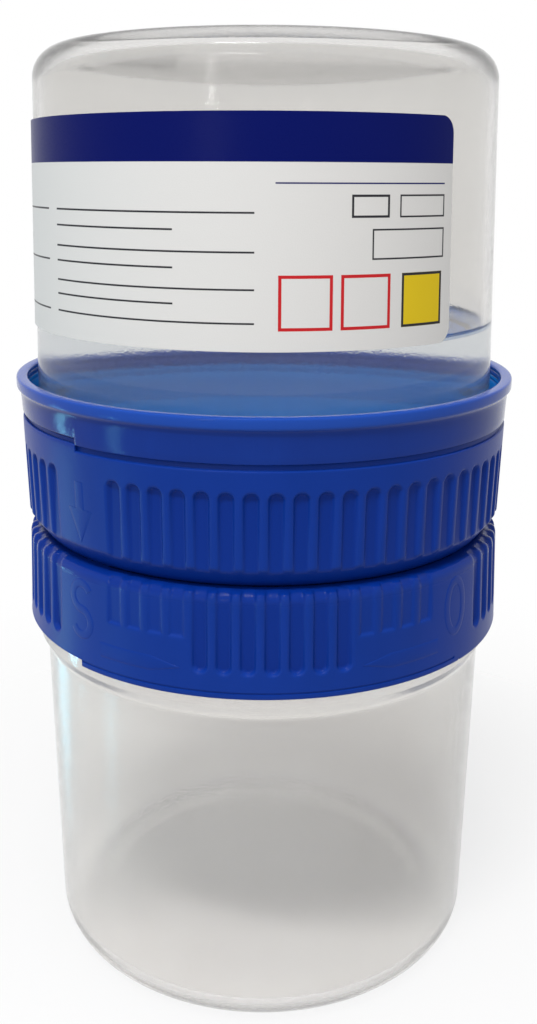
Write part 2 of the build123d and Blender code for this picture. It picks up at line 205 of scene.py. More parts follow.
# %% Soft corners
def softened(outline, corners, steps=3):
    """The outline with some corners rounded. corners maps a point's number to its radius."""
    result = []
    count = len(outline)
    for i, point in enumerate(outline):
        if i not in corners:
            result.append(point)
            continue
        here = Vector(point)
        before = Vector(outline[i - 1]) - here
        after = Vector(outline[(i + 1) % count]) - here
        reach = min(corners[i], before.length * 0.45, after.length * 0.45)
        first = here + before.normalized() * reach
        last = here + after.normalized() * reach
        for k in range(steps + 1):
            share = k / steps
            spot = first.lerp(here, share).lerp(here.lerp(last, share), share)
            result.append((spot.x, spot.y))
    return result


print("a square softened has", len(softened([(0, 0), (1, 0), (1, 1), (0, 1)], {0: 0.1})), "points")

# %% [markdown]
# ## Geometry Nodes in short
# Threads and grip grooves follow a rule, so node trees make them, with named inputs for their
# sizes. These helpers add a tree, a node or a sum in one line each, and turn the result into a
# plain mesh, because only plain meshes are exported.
# %% Trees, nodes and links
def new_tree(name, inputs):
    tree = bpy.data.node_groups.new(name, "GeometryNodeTree")
    tree.is_modifier = True
    tree.interface.new_socket("Geometry", in_out="INPUT", socket_type="NodeSocketGeometry")
    for label in inputs:
        tree.interface.new_socket(label, in_out="INPUT", socket_type="NodeSocketFloat")
    tree.interface.new_socket("Material", in_out="INPUT", socket_type="NodeSocketMaterial")
    tree.interface.new_socket("Geometry", in_out="OUTPUT", socket_type="NodeSocketGeometry")
    return tree, tree.nodes.new("NodeGroupInput").outputs


def feed(tree, socket, value):
    if isinstance(value, bpy.types.NodeSocket):
        tree.links.new(value, socket)
    else:
        socket.default_value = value


def node_of(tree, kind, mode=None, **inputs):
    """A node with some of its inputs set or linked. An underscore stands for a space."""
    node = tree.nodes.new(kind)
    if mode:
        node.mode = mode
    for label, value in inputs.items():
        feed(tree, node.inputs[label.replace("_", " ")], value)
    return node


def first_node(tree, kind):
    return next(node for node in tree.nodes if node.bl_idname == kind)


print("a tree can be built")


# %% Sums
def maths(tree, operation, *values, clamp=False):
    node = tree.nodes.new("ShaderNodeMath")
    node.operation = operation
    node.use_clamp = clamp
    for socket, value in zip(node.inputs, values):
        feed(tree, socket, value)
    return node.outputs[0]


def times(tree, first, second, clamp=False):
    return maths(tree, "MULTIPLY", first, second, clamp=clamp)


def plus(tree, first, second):
    return maths(tree, "ADD", first, second)


def minus(tree, first, second, clamp=False):
    return maths(tree, "SUBTRACT", first, second, clamp=clamp)


def largest(tree, first, *others):
    for value in others:
        first = maths(tree, "MAXIMUM", first, value)
    return first


def length_of(tree, first, second):
    squares = plus(tree, times(tree, first, first), times(tree, second, second))
    return maths(tree, "SQRT", squares)


print("sums have names")


# %% From a tree to a plain mesh
def finish_tree(tree, geometry, inputs):
    realize = tree.nodes.new("GeometryNodeRealizeInstances")
    paint = tree.nodes.new("GeometryNodeSetMaterial")
    tree.links.new(geometry, realize.inputs[0])
    tree.links.new(realize.outputs[0], paint.inputs["Geometry"])
    tree.links.new(inputs["Material"], paint.inputs["Material"])
    out = tree.nodes.new("NodeGroupOutput")
    tree.links.new(paint.outputs[0], out.inputs[0])


def grown(mesh, tree, values, material):
    """Run a tree on a mesh and give the plain mesh that it makes."""
    carrier = placed("carrier", mesh)
    modifier = carrier.modifiers.new("tree", "NODES")
    modifier.node_group = tree
    for item in tree.interface.items_tree:
        if item.in_out == "INPUT" and item.name in values:
            modifier[item.identifier] = float(values[item.name])
        if item.in_out == "INPUT" and item.name == "Material":
            modifier[item.identifier] = material
    return shown_mesh(carrier)


print("a tree's result can be kept as a mesh")


# %% Several meshes as one
def merged(name, meshes):
    """Several closed meshes as one."""
    whole = bmesh.new()
    for mesh in meshes:
        whole.from_mesh(mesh)
    mesh = bpy.data.meshes.new(name)
    whole.to_mesh(mesh)
    whole.free()
    return mesh


print("meshes so far:", len(bpy.data.meshes))

# %% [markdown]
# ## Moulded skin
# Every plastic piece came out of a polished or lightly blasted steel mould, which leaves a very
# fine grain, a few faint flow marks and a slight change of gloss. One shader group makes them
# from the object's own coordinates, so that all plastics share it with their own numbers.
# %% Shader groups and noise
def shader_group(name, inputs, outputs):
    group = bpy.data.node_groups.new(name, "ShaderNodeTree")
    for label, kind in inputs:
        group.interface.new_socket(label, in_out="INPUT", socket_type=kind)
    for label, kind in outputs:
        group.interface.new_socket(label, in_out="OUTPUT", socket_type=kind)
    first = group.nodes.new("NodeGroupInput")
    last = group.nodes.new("NodeGroupOutput")
    return group, first.outputs, last.inputs


def noise(tree, vector, scale, detail, distortion=0.0):
    node = node_of(
        tree, "ShaderNodeTexNoise", Vector=vector, Scale=scale, Detail=detail, Distortion=distortion
    )
    return node.outputs["Fac"]


print("groups can be made")

# %% The shared skin group
FLOAT = "NodeSocketFloat"
VECTOR = "NodeSocketVector"
UPRIGHT_STREAKS = (1, 1, 0.12)
skin, skin_in, skin_out = shader_group(
    "moulded_skin",
    [("Vector", VECTOR), ("Grain Scale", FLOAT), ("Flow Amount", FLOAT)],
    [("Height", FLOAT), ("Mottle", FLOAT)],
)
fine = noise(skin, skin_in["Vector"], skin_in["Grain Scale"], 3.0)
streaks = node_of(skin, "ShaderNodeMapping", Vector=skin_in["Vector"], Scale=UPRIGHT_STREAKS)
flow = noise(skin, streaks.outputs["Vector"], 260.0, 4.0, 0.6)
flow_part = times(skin, flow, skin_in["Flow Amount"])
skin.links.new(plus(skin, fine, flow_part), skin_out["Height"])
broad = noise(skin, skin_in["Vector"], 55.0, 5.0, 0.4)
mottle = plus(skin, times(skin, broad, 0.7), times(skin, flow, 0.3))
skin.links.new(mottle, skin_out["Mottle"])
print("group", skin.name, "made")

# %% [markdown]
# ## The plastics
# A Principled shader with fixed gloss numbers carries each plastic, and the skin group drives
# its colour, roughness and bump. The blue is a dense pigment with a satin gloss. The jars are
# natural polypropylene, which lets light through with a milky haze, so part of their light
# passes and part scatters.
# %% Ranges, blends and bumps
def between(tree, factor, low, high):
    """A noise of 0.3 to 0.7, which is most of it, spread over a range."""
    node = node_of(
        tree, "ShaderNodeMapRange", Value=factor, From_Min=0.3, From_Max=0.7, To_Min=low, To_Max=high
    )
    return node.outputs[0]


def tinted(tree, factor, low, high):
    node = tree.nodes.new("ShaderNodeMix")
    node.data_type = "RGBA"
    feed(tree, node.inputs["Factor"], factor)
    feed(tree, node.inputs["A"], low if isinstance(low, bpy.types.NodeSocket) else (*low, 1))
    feed(tree, node.inputs["B"], high if isinstance(high, bpy.types.NodeSocket) else (*high, 1))
    return node.outputs["Result"]


def bumped(tree, height, distance):
    return node_of(tree, "ShaderNodeBump", Height=height, Distance=distance).outputs["Normal"]


print("ranges, blends and bumps can be made")


# %% The plastic builder
def new_material(name):
    material = bpy.data.materials.new(name)
    material.use_nodes = True
    tree = material.node_tree
    return material, tree, tree.nodes["Principled BSDF"]


def object_coordinates(tree):
    return tree.nodes.new("ShaderNodeTexCoord").outputs["Object"]


def plastic(name, dark, light, rough, grain, flow_amount, bump, **sockets):
    material, tree, shader = new_material(name)
    use = tree.nodes.new("ShaderNodeGroup")
    use.node_tree = skin
    tree.links.new(object_coordinates(tree), use.inputs["Vector"])
    use.inputs["Grain Scale"].default_value = grain
    use.inputs["Flow Amount"].default_value = flow_amount
    spread = between(tree, use.outputs["Mottle"], 0.0, 1.0)
    tree.links.new(tinted(tree, spread, dark, light), shader.inputs["Base Color"])
    tree.links.new(between(tree, use.outputs["Mottle"], *rough), shader.inputs["Roughness"])
    tree.links.new(bumped(tree, use.outputs["Height"], bump), shader.inputs["Normal"])
    for socket, value in sockets.items():
        shader.inputs[socket.replace("_", " ")].default_value = value
    return material


print("plastics share", skin.name)

# %% [markdown]
# ## Light through the plastic
# A renderer aims its shadow rays straight at the lamps and doesn't bend them, so a clear jar
# would keep its own inside dark. For those rays, and for light that is bounced about inside,
# the plastic is simply a clear sheet with a slight tint. What the camera sees stays as it is.
# %% The way through
def mixed(tree, factor, first, second):
    node = tree.nodes.new("ShaderNodeMixShader")
    feed(tree, node.inputs[0], factor)
    tree.links.new(first, node.inputs[1])
    tree.links.new(second, node.inputs[2])
    return node.outputs[0]


def lets_light_in(material, tint):
    tree = material.node_tree
    path = tree.nodes.new("ShaderNodeLightPath").outputs
    passing = largest(tree, path["Is Shadow Ray"], path["Is Diffuse Ray"])
    sheet = tree.nodes.new("ShaderNodeBsdfTransparent")
    sheet.inputs["Color"].default_value = (*tint, 1)
    out = first_node(tree, "ShaderNodeOutputMaterial")
    shader = tree.nodes["Principled BSDF"].outputs[0]
    tree.links.new(mixed(tree, passing, shader, sheet.outputs[0]), out.inputs["Surface"])
    print(material.name, "lets light in")


print("shadow and diffuse rays can pass")

# %% [markdown]
# ## The container's own plastics
# Seven plastics are enough: a satin blue for the caps, a glossier one for the collar, two grades
# of natural polypropylene for the jars, and three plain whites inside. Each is a line of
# numbers: two colours that it wanders between, a range of roughness, then grain, flow and bump.
# %% The blues and the jars
cap_blue = plastic(
    "cap_blue", (0.003, 0.031, 0.24), (0.005, 0.035, 0.275), (0.30, 0.38), 5200, 0.5, 0.00002,
    Specular_IOR_Level=0.1,
)
collar_blue = plastic(
    "collar_blue", (0.002, 0.026, 0.22), (0.003, 0.033, 0.26), (0.09, 0.13), 4200, 0.6, 0.000015,
    Specular_IOR_Level=0.12,
)
frosted_jar = plastic(
    "frosted_jar", (0.94, 0.92, 0.895), (0.97, 0.955, 0.93), (0.07, 0.11), 3000, 1.6, 0.00002,
    Transmission_Weight=0.84, IOR=1.35, Specular_IOR_Level=0.25,
)
clear_jar = plastic(
    "clear_jar", (0.785, 0.775, 0.76), (0.815, 0.805, 0.79), (0.04, 0.07), 2600, 1.0, 0.00001,
    Transmission_Weight=0.98, IOR=1.2,
)
print("blues and jar plastics made")

# %% The whites inside
seal_white = plastic(
    "seal_white", (0.66, 0.66, 0.62), (0.74, 0.74, 0.70), (0.5, 0.62), 3800, 0.3, 0.00003,
)
acetal_white = plastic(
    "acetal_white", (0.74, 0.74, 0.71), (0.80, 0.80, 0.77), (0.22, 0.32), 4600, 0.4, 0.00001,
)
foam_white = plastic(
    "foam_white", (0.66, 0.66, 0.63), (0.78, 0.78, 0.75), (0.7, 0.85), 1500, 0.2, 0.00012,
)
print("plastics:", [m.name for m in bpy.data.materials])

# %% [markdown]
# ## Finishes and painted light that change with place
# A groove's floor is painted a darker blue, as painted shade. The inside of the collar and of the
# caps is painted a brighter blue, as painted light for the light that comes through the jar, and
# the collar's upper lip is painted brighter too. The bend of the lower cap's rim is smoother than
# its wall and glints. The jar's wetted wall is clearer than the dry one, and its domed end is
# rougher and darker. All of this depends only on a point's distance from the axis and its level,
# so masks of these two, from the object's own coordinates, blend a colour or a roughness in.
# %% Masks from radius and level
def ramp(tree, value, start, end):
    """0 up to the start and 1 from the end, both in millimetres. They may run backwards."""
    node = node_of(tree, "ShaderNodeMapRange", Value=value, From_Min=start * MM, From_Max=end * MM)
    return node.outputs[0]


def radius_and_level(material):
    tree = material.node_tree
    where = first_node(tree, "ShaderNodeTexCoord").outputs["Object"]
    x, y, level = node_of(tree, "ShaderNodeSeparateXYZ", Vector=where).outputs
    return length_of(tree, x, y), level


print("masks can be made")


# %% Blends by a mask
def base_mixed(material, mask, colour, over):
    """Blend a colour into a plastic's base colour where the mask is 0, or where it is 1."""
    tree = material.node_tree
    socket = tree.nodes["Principled BSDF"].inputs["Base Color"]
    old = socket.links[0].from_socket
    blend = tinted(tree, mask, old, colour) if over else tinted(tree, mask, colour, old)
    tree.links.new(blend, socket)


def rough_mixed(material, mask, rough):
    """Blend a roughness into a plastic where the mask is 1."""
    tree = material.node_tree
    socket = tree.nodes["Principled BSDF"].inputs["Roughness"]
    old = socket.links[0].from_socket
    kept = times(tree, old, minus(tree, 1.0, mask))
    tree.links.new(plus(tree, kept, times(tree, mask, rough)), socket)


print("blends can be made")

# %% Shade and light on the caps
GROOVE_PAINTED_SHADE = (0.002, 0.026, 0.23)
PAINTED_LIGHT_THROUGH_JAR = (0.003, 0.20, 0.66)
caps = cap_blue.node_tree
cap_radius, cap_level = radius_and_level(cap_blue)
on_wall = ramp(caps, cap_radius, GROOVE_FLOOR + 0.02, GROOVE_FLOOR + 0.25)
# Painted shade: the groove floors get a darker blue than the wall.
base_mixed(cap_blue, on_wall, GROOVE_PAINTED_SHADE, False)
neck_inside = times(caps, ramp(caps, cap_radius, 36.0, 35.8), ramp(caps, cap_level, 71.3, 71.6))
rim_inside = times(caps, ramp(caps, cap_radius, 36.75, 36.7), ramp(caps, cap_level, 83.2, 83.6))
# Painted light: the faces inside the caps get a brighter blue, standing in for light that comes through
# the jar.
base_mixed(cap_blue, largest(caps, neck_inside, rim_inside), PAINTED_LIGHT_THROUGH_JAR, True)
rim_bend = times(caps, ramp(caps, cap_level, 66.9, 67.3), ramp(caps, cap_level, 69.0, 68.9))
rough_mixed(cap_blue, rim_bend, 0.13)
print("cap blue has", len(caps.nodes), "nodes")

# %% Painted light in the collar
COLLAR_LIP_PAINTED_LIGHT = (0.01, 0.06, 0.36)
ring = collar_blue.node_tree
collar_radius, collar_level = radius_and_level(collar_blue)
bore_inside = times(ring, ramp(ring, collar_radius, 36.9, 36.8), ramp(ring, collar_level, 92.3, 92.2))
# Painted light: the collar's bore gets the same brighter blue, standing in for light that comes through
# the jar.
base_mixed(collar_blue, bore_inside, PAINTED_LIGHT_THROUGH_JAR, True)
# Painted light: the collar's upper lip, above about 91 mm, is painted a brighter blue.
base_mixed(collar_blue, ramp(ring, collar_level, 90.7, 91.0), COLLAR_LIP_PAINTED_LIGHT, True)
print("collar blue has", len(ring.nodes), "nodes")

# %% The upper jar's dome and wetted wall
DOME_DARKER = (0.79, 0.78, 0.765)
WET_WALL = (0.84, 0.84, 0.835)
jar_wall = clear_jar.node_tree
_, jar_level = radius_and_level(clear_jar)
# The domed end, from about 134 mm up, is given a darker colour.
base_mixed(clear_jar, ramp(jar_wall, jar_level, 133.5, 135.5), DOME_DARKER, True)
rough_mixed(clear_jar, ramp(jar_wall, jar_level, 130.0, 136.0), 0.12)
base_mixed(clear_jar, ramp(jar_wall, jar_level, 100.8, 100.1), WET_WALL, True)
lets_light_in(frosted_jar, (0.92, 0.92, 0.92))
lets_light_in(clear_jar, (0.97, 0.97, 0.97))
print("nodes in the clear jar's material:", len(jar_wall.nodes))

# %% [markdown]
# ## Screw threads
# Each jar neck carries two outer ridges and each cap two inner ones, all with a lead of 6 mm a
# turn. A ridge is a helix with a small blunt section swept along it. Two copies half a turn
# apart make the two starts, and the ends fade out as on a mould with a run-out.
# %% The thread tree
thread, thread_in = new_tree(
    "screw_thread", ["Radius", "Level", "Lead", "Turns", "Starts", "First Angle", "Size", "Side"]
)


def vector_of(tree, x, y, z):
    return node_of(tree, "ShaderNodeCombineXYZ", X=x, Y=y, Z=z).outputs[0]


helix = node_of(
    thread, "GeometryNodeCurveSpiral", Resolution=72, Rotations=thread_in["Turns"],
    Start_Radius=thread_in["Radius"], End_Radius=thread_in["Radius"],
    Height=times(thread, thread_in["Lead"], thread_in["Turns"]), Reverse=True,
)
upright = node_of(thread, "GeometryNodeSetCurveNormal", "Z_UP", Curve=helix.outputs[0])
FOOT_SINK = -0.25
FOOT_HALF = 0.95
CREST_HALF = 0.45


def section_corner(share_out, share_up):
    """A corner of the ridge's section, in shares of its size."""
    outwards = times(thread, times(thread, thread_in["Size"], thread_in["Side"]), share_out)
    return vector_of(thread, outwards, times(thread, thread_in["Size"], share_up), 0.0)


section = node_of(
    thread, "GeometryNodeCurvePrimitiveQuadrilateral", "POINTS",
    Point_1=section_corner(FOOT_SINK, -FOOT_HALF), Point_2=section_corner(1.0, -CREST_HALF),
    Point_3=section_corner(1.0, CREST_HALF), Point_4=section_corner(FOOT_SINK, FOOT_HALF),
)
print("section of a ridge made")

# %% Sweep and fade out
FADE = 14.0
LAST_SIZE = 0.02
along = thread.nodes.new("GeometryNodeSplineParameter").outputs["Factor"]
from_end = maths(thread, "MINIMUM", along, minus(thread, 1.0, along))
fade = plus(thread, times(thread, from_end, FADE, clamp=True), LAST_SIZE)
ridge = node_of(
    thread, "GeometryNodeCurveToMesh", Curve=upright.outputs[0], Profile_Curve=section.outputs[0],
    Scale=maths(thread, "MINIMUM", fade, 1.0), Fill_Caps=True,
)
print("ridge swept along its helix")

# %% Copies for the starts
starts = node_of(
    thread, "GeometryNodeMeshLine", Count=thread_in["Starts"],
    Start_Location=vector_of(thread, 0.0, 0.0, thread_in["Level"]), Offset=(0.0, 0.0, 0.0),
)
which = thread.nodes.new("GeometryNodeInputIndex").outputs[0]
share_of_turn = maths(thread, "DIVIDE", times(thread, which, math.tau), thread_in["Starts"])
start_turn = plus(thread, share_of_turn, maths(thread, "RADIANS", thread_in["First Angle"]))
copies = node_of(
    thread, "GeometryNodeInstanceOnPoints", Points=starts.outputs[0], Instance=ridge.outputs[0],
    Rotation=vector_of(thread, 0.0, 0.0, start_turn),
)
finish_tree(thread, copies.outputs[0], thread_in)


def screw_ridges(radius, level, turns, first_angle, side, material):
    values = {
        "Radius": radius * MM, "Level": level * MM, "Lead": THREAD_LEAD * MM, "Turns": turns, "Starts": 2,
        "First Angle": first_angle, "Size": 1 * MM, "Side": side,
    }
    return grown(bpy.data.meshes.new("ridges"), thread, values, material)


def jar_ridges(material):
    return screw_ridges(NECK, FLANGE_TOP + 2.2, 0.75, 0, 1, material)


def cap_ridges(material):
    return screw_ridges(BORE, FLANGE_TOP + 1.9, 150 / 360, 72, -1, material)


trial = jar_ridges(frosted_jar)
print("ridges:", len(trial.polygons), "faces, radius", max(v.co.xy.length for v in trial.vertices))

# %% [markdown]
# ## The two jars
# Both jars are the same moulding: a straight tapered wall, a domed floor on a foot ring, a
# shoulder with a flange that stops the cap's edge, and a narrower threaded neck. The wall is
# modelled with its real thickness, inside and out, because light bends at both faces. The
# outline is turned, so a lathe is the natural tool.
# %% The jar's outline
def wall_radius(level):
    """The jar wall's outer radius, which grows a little from the foot to the shoulder."""
    return JAR_FOOT + JAR_DRAFT * (level - JAR_ROUND) / (SHOULDER - JAR_ROUND)


def jar_outline():
    under = dome(26.8, 0.7, 1.85, True)[:-1]
    gate_mark = [(0, 2.25), (1.6, 2.25), (1.6, 2.545)]
    foot = [(27.5, 0.12), (27.62, 0.0), (29.55, 0.0)]
    foot_round = JAR_FOOT - JAR_ROUND
    edge = arc(foot_round, JAR_ROUND, JAR_ROUND, -88, 0, 14)
    wall = [(wall_radius(level), level) for level in (8, 14, 20, 26, 32, 38, 44, 48.5)]
    flange = softened(
        [(35.1, 49.0), (35.15, SHOULDER), (FLANGE, FLANGE_LOW), (FLANGE, FLANGE_TOP), (NECK, FLANGE_TOP),
         (NECK, JAR), (NECK_INSIDE, JAR), (NECK_INSIDE, NECK_FLOOR), (33.9, SHOULDER), (33.88, 49.0)],
        {1: 1.0, 2: 0.2, 3: 0.2, 4: 0.3, 5: 0.4, 6: 0.3, 7: 1.2, 8: 1.6}, 4,
    )
    inside = [(radius - JAR_WALL, level) for radius, level in wall[::-1]][1:]
    corner = arc(foot_round, 5.15, JAR_ROUND - JAR_WALL, 0, -90, 12)
    floor_inside = dome(foot_round, 1.9, 2.2, True)[1:]
    return gate_mark + under[::-1][1:] + foot + edge + wall[:-1] + flange + inside + corner + floor_inside


print("the jar's outline has", len(jar_outline()), "points")


# %% One jar
def jar_mesh(material):
    shell = turned("jar_shell", jar_outline(), evenly(240))
    shell.materials.append(material)
    return merged("jar", [shell, jar_ridges(material)])


def dressed(piece, material, body, node):
    """Give a finished piece its material and its body, and hide the CAD node that it stands for."""
    piece.data.materials.clear()
    piece.data.materials.append(material)
    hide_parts(node)
    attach(piece, body)
    print(piece.name, len(piece.data.polygons), "faces on", body)
    return piece


lower_jar = mesh_object("specimen_jar_moulding", jar_mesh(frosted_jar), 50)
dressed(lower_jar, frosted_jar, "specimen", "specimen_jar")

# %% [markdown]
# ## The reservoir jar
# The upper jar is the same moulding turned upside down, in a clearer grade. A half turn of the
# mesh about the X axis keeps its faces outwards, which a mirror wouldn't.
# %% The upper jar
flip = Matrix.Translation((0, 0, TOTAL * MM)) @ Matrix.Rotation(math.pi, 4, "X")
upper_mesh = jar_mesh(clear_jar)
upper_mesh.transform(flip)
upper_jar = mesh_object("reservoir_jar_moulding", upper_mesh, 50)
dressed(upper_jar, clear_jar, "reservoir", "reservoir_jar")

# %% [markdown]
# ## The formalin
# The liquid wets the wall, so its skin runs a hair into the plastic, and its surface climbs a
# little at the wall. That way light goes straight from plastic to liquid with no air between.
# Clear water-like liquid is a Principled shader with full transmission and an index of 1.36.
# A slow ripple on its open surface alone keeps that from being a perfect mirror, and the
# surface is painted with the blue of the caps that it lies over, standing in for the caps seen through it.
# %% The liquid's material
SURFACE = 100.28
SURFACE_PAINTED_BLUE = (0.36, 0.46, 0.66)
liquid, wet, liquid_shader = new_material("formalin_clear")
liquid_where = object_coordinates(wet)
drift = noise(wet, liquid_where, 40.0, 2.0, 0.5)
liquid_tone = tinted(wet, drift, (0.85, 0.88, 0.91), (0.88, 0.91, 0.94))
liquid_level = node_of(wet, "ShaderNodeSeparateXYZ", Vector=liquid_where).outputs[2]
on_top = maths(wet, "GREATER_THAN", liquid_level, (SURFACE - 0.08) * MM)
# Painted light: the open surface is tinted with the caps' blue, standing in for the caps seen through the
# liquid.
wet.links.new(tinted(wet, on_top, liquid_tone, SURFACE_PAINTED_BLUE), liquid_shader.inputs["Base Color"])
ripple = times(wet, drift, on_top)
wet.links.new(bumped(wet, ripple, 0.0001), liquid_shader.inputs["Normal"])
liquid_shader.inputs["Roughness"].default_value = 0.0
liquid_shader.inputs["IOR"].default_value = 1.36
liquid_shader.inputs["Transmission Weight"].default_value = 1.0
lets_light_in(liquid, (0.98, 0.985, 0.99))
print("nodes in the liquid's material:", len(wet.nodes))


# %% The liquid's body
def liquid_outline():
    neck = NECK_INSIDE + 0.05
    return [
        (0, 72.56), (31.6, 72.56), (31.72, 73.30), (32.2, 73.42), (neck, 73.6), (neck, TOTAL - NECK_FLOOR),
        (33.95, TOTAL - SHOULDER), (33.74, 100.9), (33.6, 101.05), (33.35, 100.75), (32.9, 100.5),
        (32.2, 100.36), (31.2, 100.3), (29, SURFACE), (20, SURFACE), (10, SURFACE), (0, SURFACE),
    ]


fill = mesh_object("formalin_in_reservoir", turned("fill", liquid_outline(), evenly(240)), 35)
dressed(fill, liquid, "reservoir", "formalin_fill")

# %% [markdown]
# ## Grip grooves
# The caps are gripped by narrow upright grooves, 72 to a turn, left out where a flat plate
# carries a mark. Cutting 120 slots with booleans is slow and leaves hard, messy edges. Here a
# node tree pushes the wall's points in to the groove floor instead: it measures how far each
# point lies from the middle of the nearest groove, and the mask falls off softly at the edge.
# %% The groove tree
GROOVE_INPUTS = [
    "Pitch", "Half Width", "Floor Radius", "First Angle", "Plate Angle", "Plate Spacing", "Plate Half",
    "End Level", "Upwards", "Short Middle", "Short From", "Short To", "Short Level", "Short Floor",
    "Rim Level", "Rim Fall", "Softness",
]
groove, groove_in = new_tree("grip_grooves", GROOVE_INPUTS)
spot = groove.nodes.new("GeometryNodeInputPosition").outputs[0]
axes = node_of(groove, "ShaderNodeSeparateXYZ", Vector=spot).outputs
radius_here = length_of(groove, axes[0], axes[1])
forwards = times(groove, axes[1], -1.0)
turn_here = maths(groove, "DEGREES", maths(groove, "ARCTAN2", axes[0], forwards))


def apart(angle, spacing):
    """How far the point is, in degrees, from the nearest of the angles that repeat at a spacing."""
    half = times(groove, spacing, 0.5)
    offset = minus(groove, turn_here, angle)
    wrapped = maths(groove, "WRAP", offset, half, times(groove, half, -1.0))
    return maths(groove, "ABSOLUTE", wrapped)


turn_off = maths(groove, "RADIANS", apart(groove_in["First Angle"], groove_in["Pitch"]))
sideways = times(groove, turn_off, groove_in["Floor Radius"])
direction = minus(groove, times(groove, groove_in["Upwards"], 2.0), 1.0)
past_end = times(groove, minus(groove, groove_in["End Level"], axes[2]), direction)
past_end = largest(groove, past_end, 0.0)
round_reach = length_of(groove, sideways, past_end)
flat_past = plus(groove, minus(groove, groove_in["Short Level"], axes[2]), groove_in["Half Width"])
flat_reach = largest(groove, sideways, flat_past)
print("groove distances measured")

# %% Which grooves are short, and where none are cut
from_middle = apart(groove_in["Short Middle"], 360.0)
past_from = maths(groove, "GREATER_THAN", from_middle, groove_in["Short From"])
before_to = maths(groove, "LESS_THAN", from_middle, groove_in["Short To"])
is_short = times(groove, past_from, before_to)
is_long = minus(groove, 1.0, is_short)
reach = plus(groove, times(groove, flat_reach, is_short), times(groove, round_reach, is_long))
edge = node_of(
    groove, "ShaderNodeMapRange", Value=reach, To_Min=1.0, To_Max=0.0,
    From_Min=minus(groove, groove_in["Half Width"], groove_in["Softness"]),
    From_Max=plus(groove, groove_in["Half Width"], groove_in["Softness"]),
)
edge.interpolation_type = "SMOOTHSTEP"
from_plate = apart(groove_in["Plate Angle"], groove_in["Plate Spacing"])
off_plate = maths(groove, "GREATER_THAN", from_plate, groove_in["Plate Half"])
groove_mask = times(groove, edge.outputs[0], off_plate)
print("groove mask made")

# %% Push the wall in
over_rim = largest(groove, minus(groove, axes[2], groove_in["Rim Level"]), 0.0)
rim_fall = times(groove, times(groove, over_rim, over_rim), groove_in["Rim Fall"])
long_floor = times(groove, groove_in["Floor Radius"], is_long)
floor_here = plus(groove, long_floor, times(groove, groove_in["Short Floor"], is_short))
floor_here = minus(groove, floor_here, rim_fall)
proud = largest(groove, minus(groove, radius_here, floor_here), 0.0)
new_radius = minus(groove, radius_here, times(groove, groove_mask, proud))
shrink = maths(groove, "DIVIDE", new_radius, radius_here)
pushed = vector_of(groove, times(groove, axes[0], shrink), times(groove, axes[1], shrink), axes[2])
moved = node_of(groove, "GeometryNodeSetPosition", Position=pushed)
groove.links.new(groove_in["Geometry"], moved.inputs["Geometry"])
finish_tree(groove, moved.outputs[0], groove_in)
print("groove tree has", len(groove.nodes), "nodes")

# %% Columns that follow the grooves
GROOVE_VALUES = {
    "Pitch": GROOVE_PITCH, "Half Width": 0.975 * MM, "Softness": 0.22 * MM,
    "Floor Radius": GROOVE_FLOOR * MM, "Plate Half": 7.5,
}


def groove_columns(first, extra):
    """Angles set close together at both edges of every groove, and at a few extra angles."""
    offsets = [-1.86, -1.6, -1.4, -1.12, -0.75, -0.3, 0.3, 0.75, 1.12, 1.4, 1.6, 1.86, 2.5]
    middles = [first + GROOVE_PITCH * k for k in range(360 // GROOVE_PITCH)]
    angles = {round((middle + offset) % 360, 3) for middle in middles for offset in offsets}
    angles |= {round(angle % 360, 3) for angle in extra}
    return sorted(angles)


def beside(angle, gap=0.02):
    return [angle - gap, angle + gap]


def within(angle, start, sweep):
    return (angle - start) % 360 < sweep


print("columns on the lower cap:", len(groove_columns(2, [])))

# %% [markdown]
# ## The lower cap
# The lower cap is a sleeve with a rim, a flat plate inside with two ports, and inner thread
# ridges. Its bottom edge steps up by a millimetre on the left half, and a fine line runs along
# the front edge. The sleeve is turned like the jar, but each column may shift its points, which
# makes the step, the line and the curved recesses for the stop lugs.
# %% The lower sleeve's outline
LOW_EDGE = 53.93
LOW_RIM = 68.87
LOW_BEND = 67.37


def wall_lower(level):
    return SKIRT - CAP_DRAFT * (level - LOW_EDGE) / (LOW_BEND - LOW_EDGE)


def lower_sleeve_outline():
    wall_levels = [
        54.3, 54.62, 54.70, 54.91, 54.97, 55.5, 56.4, 57.05, 57.28, 57.42, 57.56, 57.75, 57.95, 58.15,
        58.4, 59.2, 60.4, 61.5, 61.9, 62.05, 62.17, 62.29, 62.5, 63.2, 64.4, 65.6, 66.6, 67.1,
    ]
    wall = [(wall_lower(level), level) for level in wall_levels]
    rim = [
        (CAP_TOP, LOW_BEND), (37.12, 67.75), (37.03, 68.12), (36.86, 68.42), (36.61, 68.6), (36.2, 68.72),
        (35.7, 68.82), (35.3, 68.86), (34.9, LOW_RIM), (34.64, LOW_RIM), (34.61, LOW_RIM),
        (33.19, LOW_RIM), (33.16, LOW_RIM), (31.75, LOW_RIM), (31.65, 68.84), (SEAL_POCKET, 68.6),
    ]
    inside = [
        (31.0, 68.6), (31.0, 67.2), (34.8, 67.2), (BORE, 67.0), (BORE, 61), (BORE, 55.6), (35.2, 55.4),
        (36.45, 55.4), (FLANGE_BORE, 55.2), (FLANGE_BORE, 54.97), (FLANGE_BORE, 54.05), (36.77, LOW_EDGE),
    ]
    return [(37.40, LOW_EDGE), (37.52, 53.98), (SKIRT, 54.1)] + wall + rim + inside


print("the wall's radius at 60 mm:", round(wall_lower(60), 2), "mm")

# %% Steps, line and recesses
EDGE_STEP = 1.0
STEP_FADES = 55.5
LINE_DEPTH = 0.15
NOTCH = 0.4
NOTCH_START = OPEN + 1.6
NOTCH_SWEEP = 0.8
RECESS_FLOOR = 67.87
RECESS_START = ARROW - 4.2
RECESS_SWEEP = 98.4


